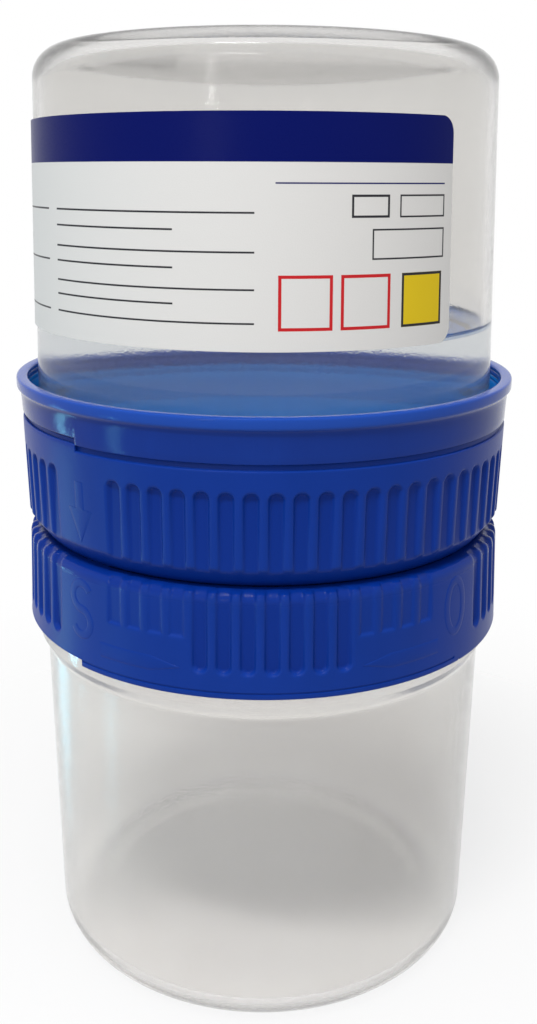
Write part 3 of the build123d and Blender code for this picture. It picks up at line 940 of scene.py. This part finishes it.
def lower_edges(radius, level, angle):
    """Shift a point of the sleeve where the step, the notch, the line or a recess is."""
    if level < 55.45 and radius > 36.6 and within(angle, SHUT - 180, 180):
        level = level + (STEP_FADES - level) * EDGE_STEP / (STEP_FADES - LOW_EDGE)
    elif level < 54.2 and within(angle, NOTCH_START, NOTCH_SWEEP):
        level = level + NOTCH * (54.2 - level) / (54.2 - LOW_EDGE)
    if radius > 37.4 and 54.65 < level < 54.95 and within(angle, SHUT, 90):
        radius = radius - LINE_DEPTH
    if 33.18 < radius < 34.62 and level > 68.8:
        for half_turn in (0, 180):
            if within(angle, RECESS_START + half_turn, RECESS_SWEEP):
                level = RECESS_FLOOR
    return radius, level


edge_steps = beside(SHUT) + beside(SHUT + 180)
line_ends = beside(OPEN) + beside(NOTCH_START) + beside(NOTCH_START + NOTCH_SWEEP)
recess_ends = []
for half_turn in (0, 180):
    recess_ends += beside(RECESS_START + half_turn, 0.01)
    recess_ends += beside(RECESS_START + RECESS_SWEEP + half_turn, 0.01)
lower_columns = groove_columns(2, edge_steps + line_ends + recess_ends)
lower_sleeve = turned("lower_sleeve", lower_sleeve_outline(), lower_columns, lower_edges)
print("columns:", len(lower_columns))

# %% Grooves in the lower sleeve
lower_sleeve = grown(lower_sleeve, groove, {
    **GROOVE_VALUES, "First Angle": 2, "Plate Angle": OPEN, "Plate Spacing": 90,
    "End Level": 58.395 * MM, "Upwards": 1, "Short Middle": 2, "Short From": 17.5, "Short To": 37.5,
    "Short Level": 62.17 * MM, "Short Floor": 37.0 * MM, "Rim Level": 67.3 * MM, "Rim Fall": 500,
}, cap_blue)
print("lower sleeve:", len(lower_sleeve.polygons), "faces")

# %% [markdown]
# ## Plates with ports
# Between the jars lies a plate in each cap with two round ports. A filled 2D curve with inner
# circles makes such a plate with clean holes and small rounded edges, which a boolean would
# leave sharp. A curve's flat faces aren't joined to its sides, so points that lie on each other
# are welded, and then all faces can agree on which side is outside.
# %% A round outline
# Four Bezier quarters look round when each handle is this share of the radius long.
ROUND_HANDLE = 0.55228


def circle(curve, x, y, radius):
    spline = curve.splines.new("BEZIER")
    spline.bezier_points.add(3)
    spline.use_cyclic_u = True
    for i, point in enumerate(spline.bezier_points):
        turn = math.tau * i / 4
        point.co = Vector((x + radius * math.cos(turn), y + radius * math.sin(turn), 0)) * MM
        tangent = Vector((-math.sin(turn), math.cos(turn), 0)) * radius * ROUND_HANDLE * MM
        point.handle_left = point.co - tangent
        point.handle_right = point.co + tangent


print("round outlines can be made")


# %% The plate builder
def holed_plate(name, radius, bottom, top, port_angle, pin_hole):
    curve = bpy.data.curves.new(name, "CURVE")
    curve.dimensions = "2D"
    curve.fill_mode = "BOTH"
    curve.resolution_u = 24
    circle(curve, 0, 0, radius)
    if pin_hole:
        circle(curve, 0, 0, pin_hole)
    for half_turn in (0, 180):
        centre = place(port_angle + half_turn, PORT_OFFSET, 0) / MM
        circle(curve, centre.x, centre.y, PORT)
    rounding = 0.08
    curve.extrude = ((top - bottom) / 2 - rounding) * MM
    curve.bevel_depth = rounding * MM
    curve.bevel_resolution = 2
    curve.offset = -rounding * MM
    mesh = shown_mesh(placed(name, curve))
    mesh.transform(Matrix.Translation((0, 0, (bottom + top) / 2 * MM)))
    joined = bmesh.new()
    joined.from_mesh(mesh)
    bmesh.ops.remove_doubles(joined, verts=joined.verts, dist=0.001 * MM)
    joined.to_mesh(mesh)
    joined.free()
    return mesh


lower_plate = holed_plate("lower_plate", PLATE, 67.21, 68.59, OPEN, PIN)
print("lower plate:", len(lower_plate.polygons), "faces")

# %% [markdown]
# ## Raised marks
# The cap carries a raised S and O for shut and open, an arrow bar beside each, and the upper cap
# an arrow that points down at them. Each mark is a strip of stations across its stroke, bent
# round the tapered wall, standing a twentieth of a millimetre proud with soft edges.
# %% A raised strip
MARK_HEIGHTS = [
    (0.0, -0.06), (0.06, 0.02), (0.2, 0.05), (0.5, 0.055), (0.8, 0.05), (0.94, 0.02), (1.0, -0.06),
]


def raised_strip(name, stations, middle, level, wall, loop=False):
    """A strip from station pairs in millimetres across and up, laid on the wall and raised."""
    verts, faces = [], []
    for first, last in stations:
        for share, height in MARK_HEIGHTS:
            x = first[0] + (last[0] - first[0]) * share
            y = first[1] + (last[1] - first[1]) * share
            radius = wall(level + y)
            verts.append(place(middle + math.degrees(x / radius), radius + height, level + y))
    rows, width = len(stations), len(MARK_HEIGHTS)
    for i in range(rows if loop else rows - 1):
        j = (i + 1) % rows
        for k in range(width):
            m = (k + 1) % width
            faces.append([i * width + k, i * width + m, j * width + m, j * width + k])
    if not loop:
        faces.append(list(range(width)))
        faces.append(list(range((rows - 1) * width, rows * width)))
    return mesh_from(name, verts, faces)


print("a strip has", len(MARK_HEIGHTS), "points across")


# %% A stroke along a line
def stroke(centre, width):
    """Station pairs half a stroke each side of a centre line."""
    pairs = []
    for i, point in enumerate(centre):
        ahead = centre[min(i + 1, len(centre) - 1)]
        behind = centre[max(i - 1, 0)]
        run = Vector((ahead[0] - behind[0], ahead[1] - behind[1])).normalized() * width / 2
        pairs.append(((point[0] - run.y, point[1] + run.x), (point[0] + run.y, point[1] - run.x)))
    return pairs


print("a straight stroke:", stroke([(0, 0), (1, 0)], 2))


# %% The ring and the S
def ring_mark():
    """An oval ring, from its outer to its inner side."""
    pairs = []
    for i in range(48):
        x, y = math.cos(math.tau * i / 48), math.sin(math.tau * i / 48)
        pairs.append(((2.65 * x, 4.5 * y), (1.25 * x, 3.1 * y)))
    return pairs


BOWL = 1.9


def bowl_arc(middle, angles):
    turns = [math.radians(angle) for angle in angles]
    return [(BOWL * math.cos(turn), middle + BOWL * math.sin(turn)) for turn in turns]


def shut_mark():
    """An S of two bowls."""
    return stroke(bowl_arc(BOWL, range(30, 271, 10)) + bowl_arc(-BOWL, range(80, -151, -10)), 1.4)


print("the S has", len(shut_mark()), "stations")

# %% The bar
BAR_LENGTH = 13.0
BAR_HALF = 1.2
BAR_HEAD = 4.4


def bar_mark(direction):
    """A bar with a point, from its tail to its tip."""
    pairs = []
    for i in range(27):
        x = 0.5 * i
        half = max(min(BAR_HALF, BAR_HALF * (BAR_LENGTH - x) / BAR_HEAD), 0.02)
        pairs.append(((direction * x, -half), (direction * x, half)))
    return pairs


print("a bar has", len(bar_mark(1)), "stations")

# %% The marks on the lower cap
LETTER_LEVEL = 62.63
BAR_LEVEL = 57.8
BAR_START = 6
lower_marks = [
    raised_strip("letter_s", shut_mark(), SHUT, LETTER_LEVEL, wall_lower),
    raised_strip("letter_o", ring_mark(), OPEN, LETTER_LEVEL, wall_lower, True),
    raised_strip("bar_s", bar_mark(1), SHUT + BAR_START, BAR_LEVEL, wall_lower),
    raised_strip("bar_o", bar_mark(-1), OPEN - BAR_START, BAR_LEVEL, wall_lower),
]
print("marks:", [len(mark.polygons) for mark in lower_marks])

# %% The seal pegs
PEG = 1.6
PEG_RING = 12.0


def seal_peg(angle):
    outline = [(0, 68.0), (PEG, 68.0), (PEG, 69.6), (PEG - 0.2, 69.8), (0, 69.8)]
    peg = turned("peg", outline, evenly(32))
    peg.transform(Matrix.Translation(place(angle, PEG_RING, 0)))
    return peg


pegs = [seal_peg(OPEN + quarter) for quarter in (90, 270)]
print("pegs:", len(pegs))

# %% The lower cap put together
lower_mesh = merged("lower_cap", [lower_sleeve, lower_plate, cap_ridges(cap_blue)] + lower_marks + pegs)
lower_cap = mesh_object("lower_cap_moulding", lower_mesh, 55)
dressed(lower_cap, cap_blue, "lower_valve", "lower_cap")

# %% [markdown]
# ## The upper cap
# The upper cap is its mirror in most ways: a chamfered foot that runs over the lower rim, two
# stop lugs under it, a plate with ports a quarter turn away, and grooves that end in round tops.
# Its upper edge stands a millimetre higher on the left half, and a thin spigot carries the collar.
# %% The upper sleeve's outline
FOOT = 69.12
UP_BEND = 72.0
UP_EDGE = 85.40


def wall_upper(level):
    return CAP_TOP + CAP_DRAFT * (level - UP_BEND) / (UP_EDGE - UP_BEND)


def upper_sleeve_outline():
    wall_levels = [
        72.35, 72.8, 73.6, 74.8, 76.2, 77.8, 79.4, 80.6, 81.2, 81.39, 81.62, 81.84, 82.04, 82.22, 82.36,
        82.5, 82.75, 83.4, 84.2, 84.9, 85.15,
    ]
    wall = [(wall_upper(level), level) for level in wall_levels]
    chamfer = [
        (34.75, FOOT), (34.98, 69.2), (35.6, 70.0), (36.2, 70.78), (36.55, 71.22), (36.61, 71.30),
        (36.72, 71.44), (36.95, 71.74), (37.1, 71.94), (37.158, 72.08),
    ]
    top = [
        (37.545, 85.31), (37.47, UP_EDGE), (37.12, UP_EDGE), (37.05, 85.45), (37.05, 86.86),
        (36.98, 86.96), (36.72, 86.96), (FLANGE_BORE, 86.88),
    ]
    inside = [
        (FLANGE_BORE, 84.5), (36.5, 84.38), (35.2, 84.38), (BORE, 84.2), (BORE, 78), (BORE, 72.75),
        (34.8, 72.58), (31.0, 72.58), (31.0, 71.18), (SEAL_POCKET, 71.18), (SEAL_POCKET, 69.22),
        (31.7, FOOT),
    ]
    return chamfer + wall + top + inside


def upper_edges(radius, level, angle):
    """Raise the edge by its step on the left half."""
    if 84.8 < level < 85.42 and radius > 37.1 and within(angle, SHUT - 180, 180):
        level = level + EDGE_STEP * (level - 84.8) / 0.6
    return radius, level


print("the wall's radius at 80 mm:", round(wall_upper(80), 2), "mm")

# %% The upper sleeve and plate
upper_columns = groove_columns(ARROW, edge_steps)
upper_sleeve = turned("upper_sleeve", upper_sleeve_outline(), upper_columns, upper_edges)
# No angle is 400 degrees from another, so no groove is short here.
upper_sleeve = grown(upper_sleeve, groove, {
    **GROOVE_VALUES, "First Angle": ARROW, "Plate Angle": ARROW, "Plate Spacing": 180,
    "End Level": 81.385 * MM, "Upwards": 0, "Short Middle": 0, "Short From": 400, "Short To": 400,
    "Short Level": 0, "Short Floor": 0, "Rim Level": 1, "Rim Fall": 0,
}, cap_blue)
upper_plate = holed_plate("upper_plate", PLATE, 71.19, 72.57, OPEN - 90, PIN + 0.05)
print("upper sleeve:", len(upper_sleeve.polygons), "faces")


# %% Arrow and stop lugs
LUG_HALF = 4


def valve_arrow():
    """From the shaft's top down to the tip."""
    shaft = [(0.975, y) for y in (0.0, -0.7, -1.4, -2.1, -2.8, -3.5, -3.88)]
    head = [(2.8 - 2.78 * i / 8, -3.9 - 4.8 * i / 8) for i in range(9)]
    return [((-half, y), (half, y)) for half, y in shaft + head]


def stop_lug(middle):
    """A square block bent round the axis, closed at both ends."""
    block = [(33.3, 68.15), (34.5, 68.15), (34.5, 69.7), (33.3, 69.7)]
    rows = 2 * LUG_HALF
    verts = [place(middle - LUG_HALF + i, *point) for i in range(rows + 1) for point in block]
    faces = []
    for i in range(rows):
        for k in range(4):
            a, b = i * 4 + k, i * 4 + (k + 1) % 4
            faces.append([a, b, b + 4, a + 4])
    faces += [[0, 1, 2, 3], [rows * 4 + k for k in range(4)]]
    return mesh_from("lug", verts, faces)


arrow = raised_strip("valve_arrow", valve_arrow(), ARROW, 81.2, wall_upper)
lugs = [stop_lug(ARROW + half_turn) for half_turn in (0, 180)]
print("lugs:", [len(lug.polygons) for lug in lugs])

# %% The upper cap put together
upper_threads = cap_ridges(cap_blue)
upper_threads.transform(flip)
upper_mesh = merged("upper_cap", [upper_sleeve, upper_plate, upper_threads, arrow] + lugs)
upper_cap = mesh_object("upper_cap_moulding", upper_mesh, 55)
dressed(upper_cap, cap_blue, "upper_valve", "upper_cap")

# %% [markdown]
# ## The lock collar
# A separate glossy ring snaps over the upper cap's spigot and flares out round the jar's
# shoulder. Its lower edge follows the cap's step, and its bore has three fine ring lines that
# glint through the gap. It is turned, with the step bent in.
# %% The collar
COLLAR_LOW = 86.26
COLLAR_TOP = 92.47


def collar_outline():
    outside = [
        (37.44, COLLAR_LOW), (37.53, 86.3), (37.562, 86.42), (37.6, 87.4), (37.68, 88.8), (37.76, 89.9),
        (37.83, 90.38), (37.92, 90.6), (38.2, 90.86), (38.31, 91.0), (38.34, 91.2), (38.34, 92.1),
        (38.29, 92.33), (38.16, 92.45), (38.0, COLLAR_TOP),
    ]
    lines = [(37.0, COLLAR_TOP), (36.8, 92.42), (36.68, 92.3), (FLANGE_BORE, 92.1)]
    for i in range(3):
        level = COLLAR_TOP - 0.8 * (i + 1)
        lines += [(FLANGE_BORE, level + 0.15), (36.75, level), (FLANGE_BORE, level - 0.15)]
    inside = [
        (FLANGE_BORE, 88.6), (FLANGE_BORE, 86.98), (36.72, 86.98), (37.1, 86.98), (37.1, 86.34),
        (37.16, COLLAR_LOW),
    ]
    return outside + lines + inside


def collar_edges(radius, level, angle):
    """Lift the lower edge over the cap's step on the left half."""
    if level < 87.45 and radius > 37.08 and within(angle, SHUT - 180, 180):
        level = 87.45 - (87.45 - level) * 0.19 / 1.19
    return radius, level


collar_angles = sorted({round(a % 360, 3) for a in evenly(288) + edge_steps})
collar_skin = turned("collar", collar_outline(), collar_angles, collar_edges)
collar = mesh_object("lock_collar_moulding", collar_skin, 50)
dressed(collar, collar_blue, "upper_valve", "lock_collar")

# %% [markdown]
# ## The label
# A printed film with rounded corners is wrapped round a bit more than half of the jar. It is a
# thin closed sheet bent on the tapered wall. Its UV map is in metres along and up the film, so
# that the print keeps its real size, and its inner side is moved off the print, because a film
# is blank behind. The print is generic: a navy band, write-in rules and blank boxes.
# %% Places on the label
LABEL_LOW = 100.28
LABEL_HIGH = 129.48
LABEL_RIGHT = 44.6
LABEL_SWEEP = 195.0
LABEL_CURVE = 35.0
LABEL_CORNER = 2.2
LABEL_LENGTH = math.radians(LABEL_SWEEP) * LABEL_CURVE
LABEL_ROWS = 14
LABEL_BACK = 0.10
LABEL_FRONT = 0.30


def label_stations():
    """Places along the film, close together at its rounded corners."""
    ends = [0, 0.05, 0.15, 0.35, 0.65, 1.0, 1.45, 1.9, LABEL_CORNER]
    middle = [LABEL_CORNER + (LABEL_LENGTH - 2 * LABEL_CORNER) * i / 130 for i in range(1, 130)]
    return ends + middle + [LABEL_LENGTH - end for end in ends[::-1]]


def label_column(u):
    """The places up the film at one station, shortened where a corner is round."""
    short = max(0.0, LABEL_CORNER - min(u, LABEL_LENGTH - u))
    trim = LABEL_CORNER - math.sqrt(max(0.0, LABEL_CORNER ** 2 - short ** 2))
    height = LABEL_HIGH - LABEL_LOW - 2 * trim
    return [(u, trim + height * row / LABEL_ROWS) for row in range(LABEL_ROWS + 1)]


def on_jar(u, v, lift):
    radius = wall_radius(TOTAL - (LABEL_LOW + v)) + lift
    return place(LABEL_RIGHT - math.degrees(u / LABEL_CURVE), radius, LABEL_LOW + v)


print("label", round(LABEL_LENGTH, 1), "mm long, with", len(label_stations()), "stations")


# %% The label's sheet
def label_mesh():
    film_places = [spot for u in label_stations() for spot in label_column(u)]
    verts = [on_jar(u, v, lift) for lift in (LABEL_FRONT, LABEL_BACK) for u, v in film_places]
    count, width, layer = len(label_stations()), LABEL_ROWS + 1, len(film_places)
    faces = []
    for i in range(count - 1):
        for k in range(LABEL_ROWS):
            a, b = i * width + k, (i + 1) * width + k
            faces.append([a, b, b + 1, a + 1])
            faces.append([layer + a, layer + a + 1, layer + b + 1, layer + b])
        for k in (0, LABEL_ROWS):
            a, b = i * width + k, (i + 1) * width + k
            faces.append([a, b, layer + b, layer + a])
    for i in (0, count - 1):
        for k in range(LABEL_ROWS):
            a = i * width + k
            faces.append([a, a + 1, layer + a + 1, layer + a])
    mesh = mesh_from("label", verts, faces)
    uv = mesh.uv_layers.new(name="film")
    for face in mesh.polygons:
        blank_side = 0.5 if min(face.vertices) >= layer else 0.0
        for index in face.loop_indices:
            u, v = film_places[mesh.loops[index].vertex_index % layer]
            uv.data[index].uv = (u * MM + blank_side, v * MM)
    return mesh


label = mesh_object("reservoir_label_film", label_mesh(), 30)
print("label sheet has", len(label.data.polygons), "faces")

# %% [markdown]
# ## The print
# Each printed shape is a rectangle in label millimetres, so one shader group makes the mask of
# a rectangle from the UV map, and small functions combine such masks: a frame is a rectangle
# less a smaller one, and a rule is a very low one.
# %% The rectangle group
BOX_SIDES = ("Left", "Right", "Bottom", "Top", "Edge")
printed, printed_in, printed_out = shader_group(
    "printed_box", [("Vector", VECTOR)] + [(side, FLOAT) for side in BOX_SIDES], [("Mask", FLOAT)],
)
uv_axes = node_of(printed, "ShaderNodeSeparateXYZ", Vector=printed_in["Vector"]).outputs


def inside_side(high, low):
    return maths(printed, "DIVIDE", minus(printed, high, low), printed_in["Edge"], clamp=True)


right_of = inside_side(uv_axes[0], printed_in["Left"])
left_of = inside_side(printed_in["Right"], uv_axes[0])
above = inside_side(uv_axes[1], printed_in["Bottom"])
below = inside_side(printed_in["Top"], uv_axes[1])
box = times(printed, times(printed, right_of, left_of), times(printed, above, below))
printed.links.new(box, printed_out["Mask"])
print("group", printed.name, "made")

# %% Boxes and frames on the film
film, film_tree, film_shader = new_material("label_print")
film_uv = node_of(film_tree, "ShaderNodeUVMap")
film_uv.uv_map = "film"
in_mm = node_of(film_tree, "ShaderNodeVectorMath", Vector=film_uv.outputs[0])
in_mm.operation = "SCALE"
in_mm.inputs["Scale"].default_value = 1 / MM


def box_mask(left, right, bottom, top):
    use = film_tree.nodes.new("ShaderNodeGroup")
    use.node_tree = printed
    film_tree.links.new(in_mm.outputs[0], use.inputs["Vector"])
    for side, value in zip(BOX_SIDES, (left, right, bottom, top, 0.06)):
        use.inputs[side].default_value = value
    return use.outputs["Mask"]


def frame_mask(left, right, bottom, top, line):
    outer = box_mask(left, right, bottom, top)
    inner = box_mask(left + line, right - line, bottom + line, top - line)
    return minus(film_tree, outer, inner, clamp=True)


def any_of(masks):
    return largest(film_tree, *masks)


print("boxes and frames can be printed")

# %% What is printed
RULE = 0.3
navy = any_of([box_mask(-1.0, LABEL_LENGTH + 1.0, 23.2, 31.0), box_mask(1.6, 26.0, 20.6, 20.85)])
rule_ends = [(28.5, 60.0, v) for v in (17.0, 12.2, 7.6, 3.4)]
rule_ends += [(39.0, 60.0, v) for v in (14.9, 10.2, 5.7)]
rule_ends += [(62.5, LABEL_LENGTH - 4, v) for v in (17.0, 10.2, 3.4)]
rules = any_of([box_mask(left, right, v, v + RULE) for left, right, v in rule_ends])
blanks = any_of([
    frame_mask(10.9, 16.3, 16.5, 19.4, 0.3), frame_mask(1.6, 9.4, 16.5, 19.4, 0.22),
    frame_mask(1.6, 13.4, 11.3, 15.2, 0.22),
])
reds = any_of([frame_mask(18.6, 25.6, 2.6, 9.6, 0.42), frame_mask(10.6, 17.6, 2.6, 9.6, 0.42)])
yellow = box_mask(1.9, 8.9, 2.6, 9.6)
yellow_edge = frame_mask(1.9, 8.9, 2.6, 9.6, 0.35)
print("rules on the label:", len(rule_ends))

# %% Film and ink
NAVY = (0.002, 0.006, 0.105)
INK = (0.03, 0.03, 0.035)
RED = (0.55, 0.02, 0.025)
YELLOW = (0.72, 0.52, 0.02)
fibre = noise(film_tree, in_mm.outputs[0], 6.0, 4.0)
layers = tinted(film_tree, fibre, (0.68, 0.67, 0.655), (0.72, 0.71, 0.695))
prints = [(navy, NAVY), (rules, INK), (blanks, INK), (reds, RED), (yellow, YELLOW), (yellow_edge, INK)]
for shape, colour in prints:
    layers = tinted(film_tree, shape, layers, colour)
film_tree.links.new(layers, film_shader.inputs["Base Color"])
ink_gloss = times(film_tree, any_of([navy, rules]), -0.08)
film_rough = plus(film_tree, between(film_tree, fibre, 0.34, 0.42), ink_gloss)
film_tree.links.new(film_rough, film_shader.inputs["Roughness"])
film_tree.links.new(bumped(film_tree, fibre, 0.000015), film_shader.inputs["Normal"])
film_shader.inputs["Specular IOR Level"].default_value = 0.05
dressed(label, film, "reservoir", "reservoir_label")

# %% [markdown]
# ## Pieces that stay as they came
# The gaskets, the seal, the pivot and its clip are plain small shapes whose measured form is
# already right, so they keep it and only get their plastics.
# %% Paint the kept nodes
for node_name, material in (
    ("specimen_gasket", foam_white), ("reservoir_gasket", foam_white), ("valve_seal", seal_white),
    ("valve_pivot", acetal_white), ("pivot_clip", acetal_white),
):
    for material_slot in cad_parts[node_name].material_slots:
        material_slot.material = material
    print(node_name, "painted", material.name)

# %% [markdown]
# ## Floor and surroundings
# The photograph has a pure white ground. The floor is a wide disc that takes the container's
# soft shadow near its middle and clears away further out, where the white world shows. Near the
# container the glass-like plastics see the floor's true shadow, and further out its white. Lamp
# light goes straight through the jars here, and the jar's thick frosted floor would hold it
# back, so the ground under the jar is painted darker instead.
# %% The floor's disc
FLOOR_RADIUS = 900
FLOOR_DROP = -0.05
floor_rim = [place(angle, FLOOR_RADIUS, FLOOR_DROP) for angle in evenly(96)]
floor_mesh = mesh_from("floor", floor_rim, [list(range(len(floor_rim)))])
floor = placed("floor", floor_mesh)
floor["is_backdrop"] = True
print("floor", round(floor.dimensions.x, 2), "m wide")

# %% The ground's colour, with a painted shadow under the jar
GROUND = (0.87, 0.87, 0.87)
GROUND_PAINTED_SHADOW = (0.38, 0.395, 0.40)
ground, ground_tree, ground_shader = new_material("ground_white")
ground_where = object_coordinates(ground_tree)
far = node_of(ground_tree, "ShaderNodeVectorMath", Vector=ground_where)
far.operation = "LENGTH"
distance = far.outputs["Value"]
backwards = node_of(ground_tree, "ShaderNodeSeparateXYZ", Vector=ground_where).outputs[1]
# Painted shadow: the ground inside the jar's floor outline, on its back part, is painted dark.
painted_shadow_under_jar = times(ground_tree, ramp(ground_tree, distance, 32, 31), ramp(ground_tree, backwards, -15, -2))
ground_colour = tinted(ground_tree, painted_shadow_under_jar, GROUND, GROUND_PAINTED_SHADOW)
ground_tree.links.new(ground_colour, ground_shader.inputs["Base Color"])
ground_shader.inputs["Roughness"].default_value = 0.7
print("ground", GROUND, "and", GROUND_PAINTED_SHADOW)

# %% Where the ground shows as white
WHITE_SHARE = 0.7
rays = ground_tree.nodes.new("ShaderNodeLightPath").outputs
straight = minus(ground_tree, 1.0, rays["Is Transmission Ray"])
in_mirror = times(ground_tree, rays["Is Glossy Ray"], straight)
in_glass = times(ground_tree, rays["Is Transmission Ray"], ramp(ground_tree, distance, 48, 100))
seen = largest(ground_tree, rays["Is Camera Ray"], in_mirror, in_glass)
glow = ground_tree.nodes.new("ShaderNodeEmission")
lit = mixed(ground_tree, times(ground_tree, seen, WHITE_SHARE), ground_shader.outputs[0], glow.outputs[0])
away = node_of(ground_tree, "ShaderNodeMapRange", Value=distance, From_Min=50 * MM, From_Max=160 * MM)
away.interpolation_type = "SMOOTHSTEP"
clear = ground_tree.nodes.new("ShaderNodeBsdfTransparent")
shown = mixed(ground_tree, away.outputs[0], lit, clear.outputs[0])
ground_tree.links.new(shown, first_node(ground_tree, "ShaderNodeOutputMaterial").inputs["Surface"])
floor_mesh.materials.append(ground)
print("ground has", len(ground_tree.nodes), "nodes")

# %% [markdown]
# ## The world
# The world is white to the camera, in reflections and through the jars. As a light it is a
# softer grey, so that pale plastic isn't burnt out. Light Path tells these rays apart.
# %% A white room
SKY_AS_LIGHT = 0.4
world = bpy.data.worlds.new("white_room")
bpy.context.scene.world = world
world.use_nodes = True
sky = world.node_tree
sky_rays = sky.nodes.new("ShaderNodeLightPath").outputs
sky_seen = largest(sky, *[sky_rays[f"Is {kind} Ray"] for kind in ("Camera", "Glossy", "Transmission")])
sky_level = plus(sky, times(sky, sky_seen, 1 - SKY_AS_LIGHT), SKY_AS_LIGHT)
sky.nodes["Background"].inputs["Color"].default_value = (1, 1, 1, 1)
sky.links.new(sky_level, sky.nodes["Background"].inputs["Strength"])
bpy.context.scene.view_settings.view_transform = "Standard"
print("world is", SKY_AS_LIGHT, "as a light and 1 to the eye")

# %% [markdown]
# ## Lamps
# A high key lamp throws the caps' shadow on the jar's floor, and three dim soft ones fill in.
# None of these four shows in a reflection, as with white tents in a studio. Four small lamps do
# show: one glints along the caps' rims, two low pale blue strips draw the upright streaks on
# the collar's left side, and a thin one draws the line down the upper jar.
# %% A lamp that faces the container
def area_lamp(name, angle, distance, level, width, height, watts, mirrored=True, colour=(1, 1, 1)):
    """A rectangle of light aimed at the container's middle, at an angle from the front."""
    light = bpy.data.lights.new(name, "AREA")
    light.shape = "RECTANGLE"
    light.size = width * MM
    light.size_y = height * MM
    light.energy = watts
    light.color = colour
    lamp = placed(name, light)
    lamp.location = place(angle, distance, level)
    lamp.rotation_euler = (Vector((0, 0, 0.075)) - lamp.location).to_track_quat("-Z", "Y").to_euler()
    lamp.visible_glossy = mirrored
    lamp.visible_transmission = False
    print(name, watts, "W")


# %% The lamps that only light
area_lamp("soft_front_left", -34, 620, 460, 420, 420, 0.7, False)
area_lamp("soft_right", 48, 600, 300, 300, 300, 0.35, False)
area_lamp("soft_top", -10, 150, 700, 260, 260, 0.9, False)
area_lamp("key_above", -17, 290, 560, 240, 60, 1.15, False)

# %% The lamps that also show
CYAN = (0.25, 0.78, 1.0)
area_lamp("glint_above", -17, 290, 560, 150, 24, 0.8)
area_lamp("strip_left", -70, 560, -130, 12, 150, 0.16, True, CYAN)
area_lamp("strip_back_left", -105, 560, -130, 12, 150, 0.26, True, CYAN)
area_lamp("strip_thin", -23.5, 560, 190, 7, 200, 0.22)

# %% [markdown]
# ## The camera
# The photograph was taken from close by and a little above, so the two mouths' curves open
# downwards by different amounts. The lens, the tilt and the small shift were fitted to the rims.
# %% The camera itself
PICTURE = 1024
SENSOR = 36
FOCAL_PIXELS = 1090.87
lens = bpy.data.cameras.new("photo_camera")
lens.sensor_width = SENSOR
lens.lens = FOCAL_PIXELS / PICTURE * SENSOR
lens.shift_x = (268.5 - 263.85) / PICTURE
lens.shift_y = -(512 - 430.41) / PICTURE
lens.clip_start = 0.005
camera = placed("photo_camera", lens)
camera.location = (0, -0.170585, 0.12171)
DOWNWARDS = 13.08
ROLL = 0.28
tilt = Matrix.Rotation(math.radians(90 - DOWNWARDS), 4, "X") @ Matrix.Rotation(math.radians(ROLL), 4, "Z")
camera.rotation_euler = tilt.to_euler()
bpy.context.scene.camera = camera
print("camera lens", round(lens.lens, 2), "mm")

new_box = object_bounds()
grown_by = [[round((new - old) / MM, 3) for new, old in zip(*ends)] for ends in zip(new_box, cad_box)]
print("box grew by", grown_by, "mm")
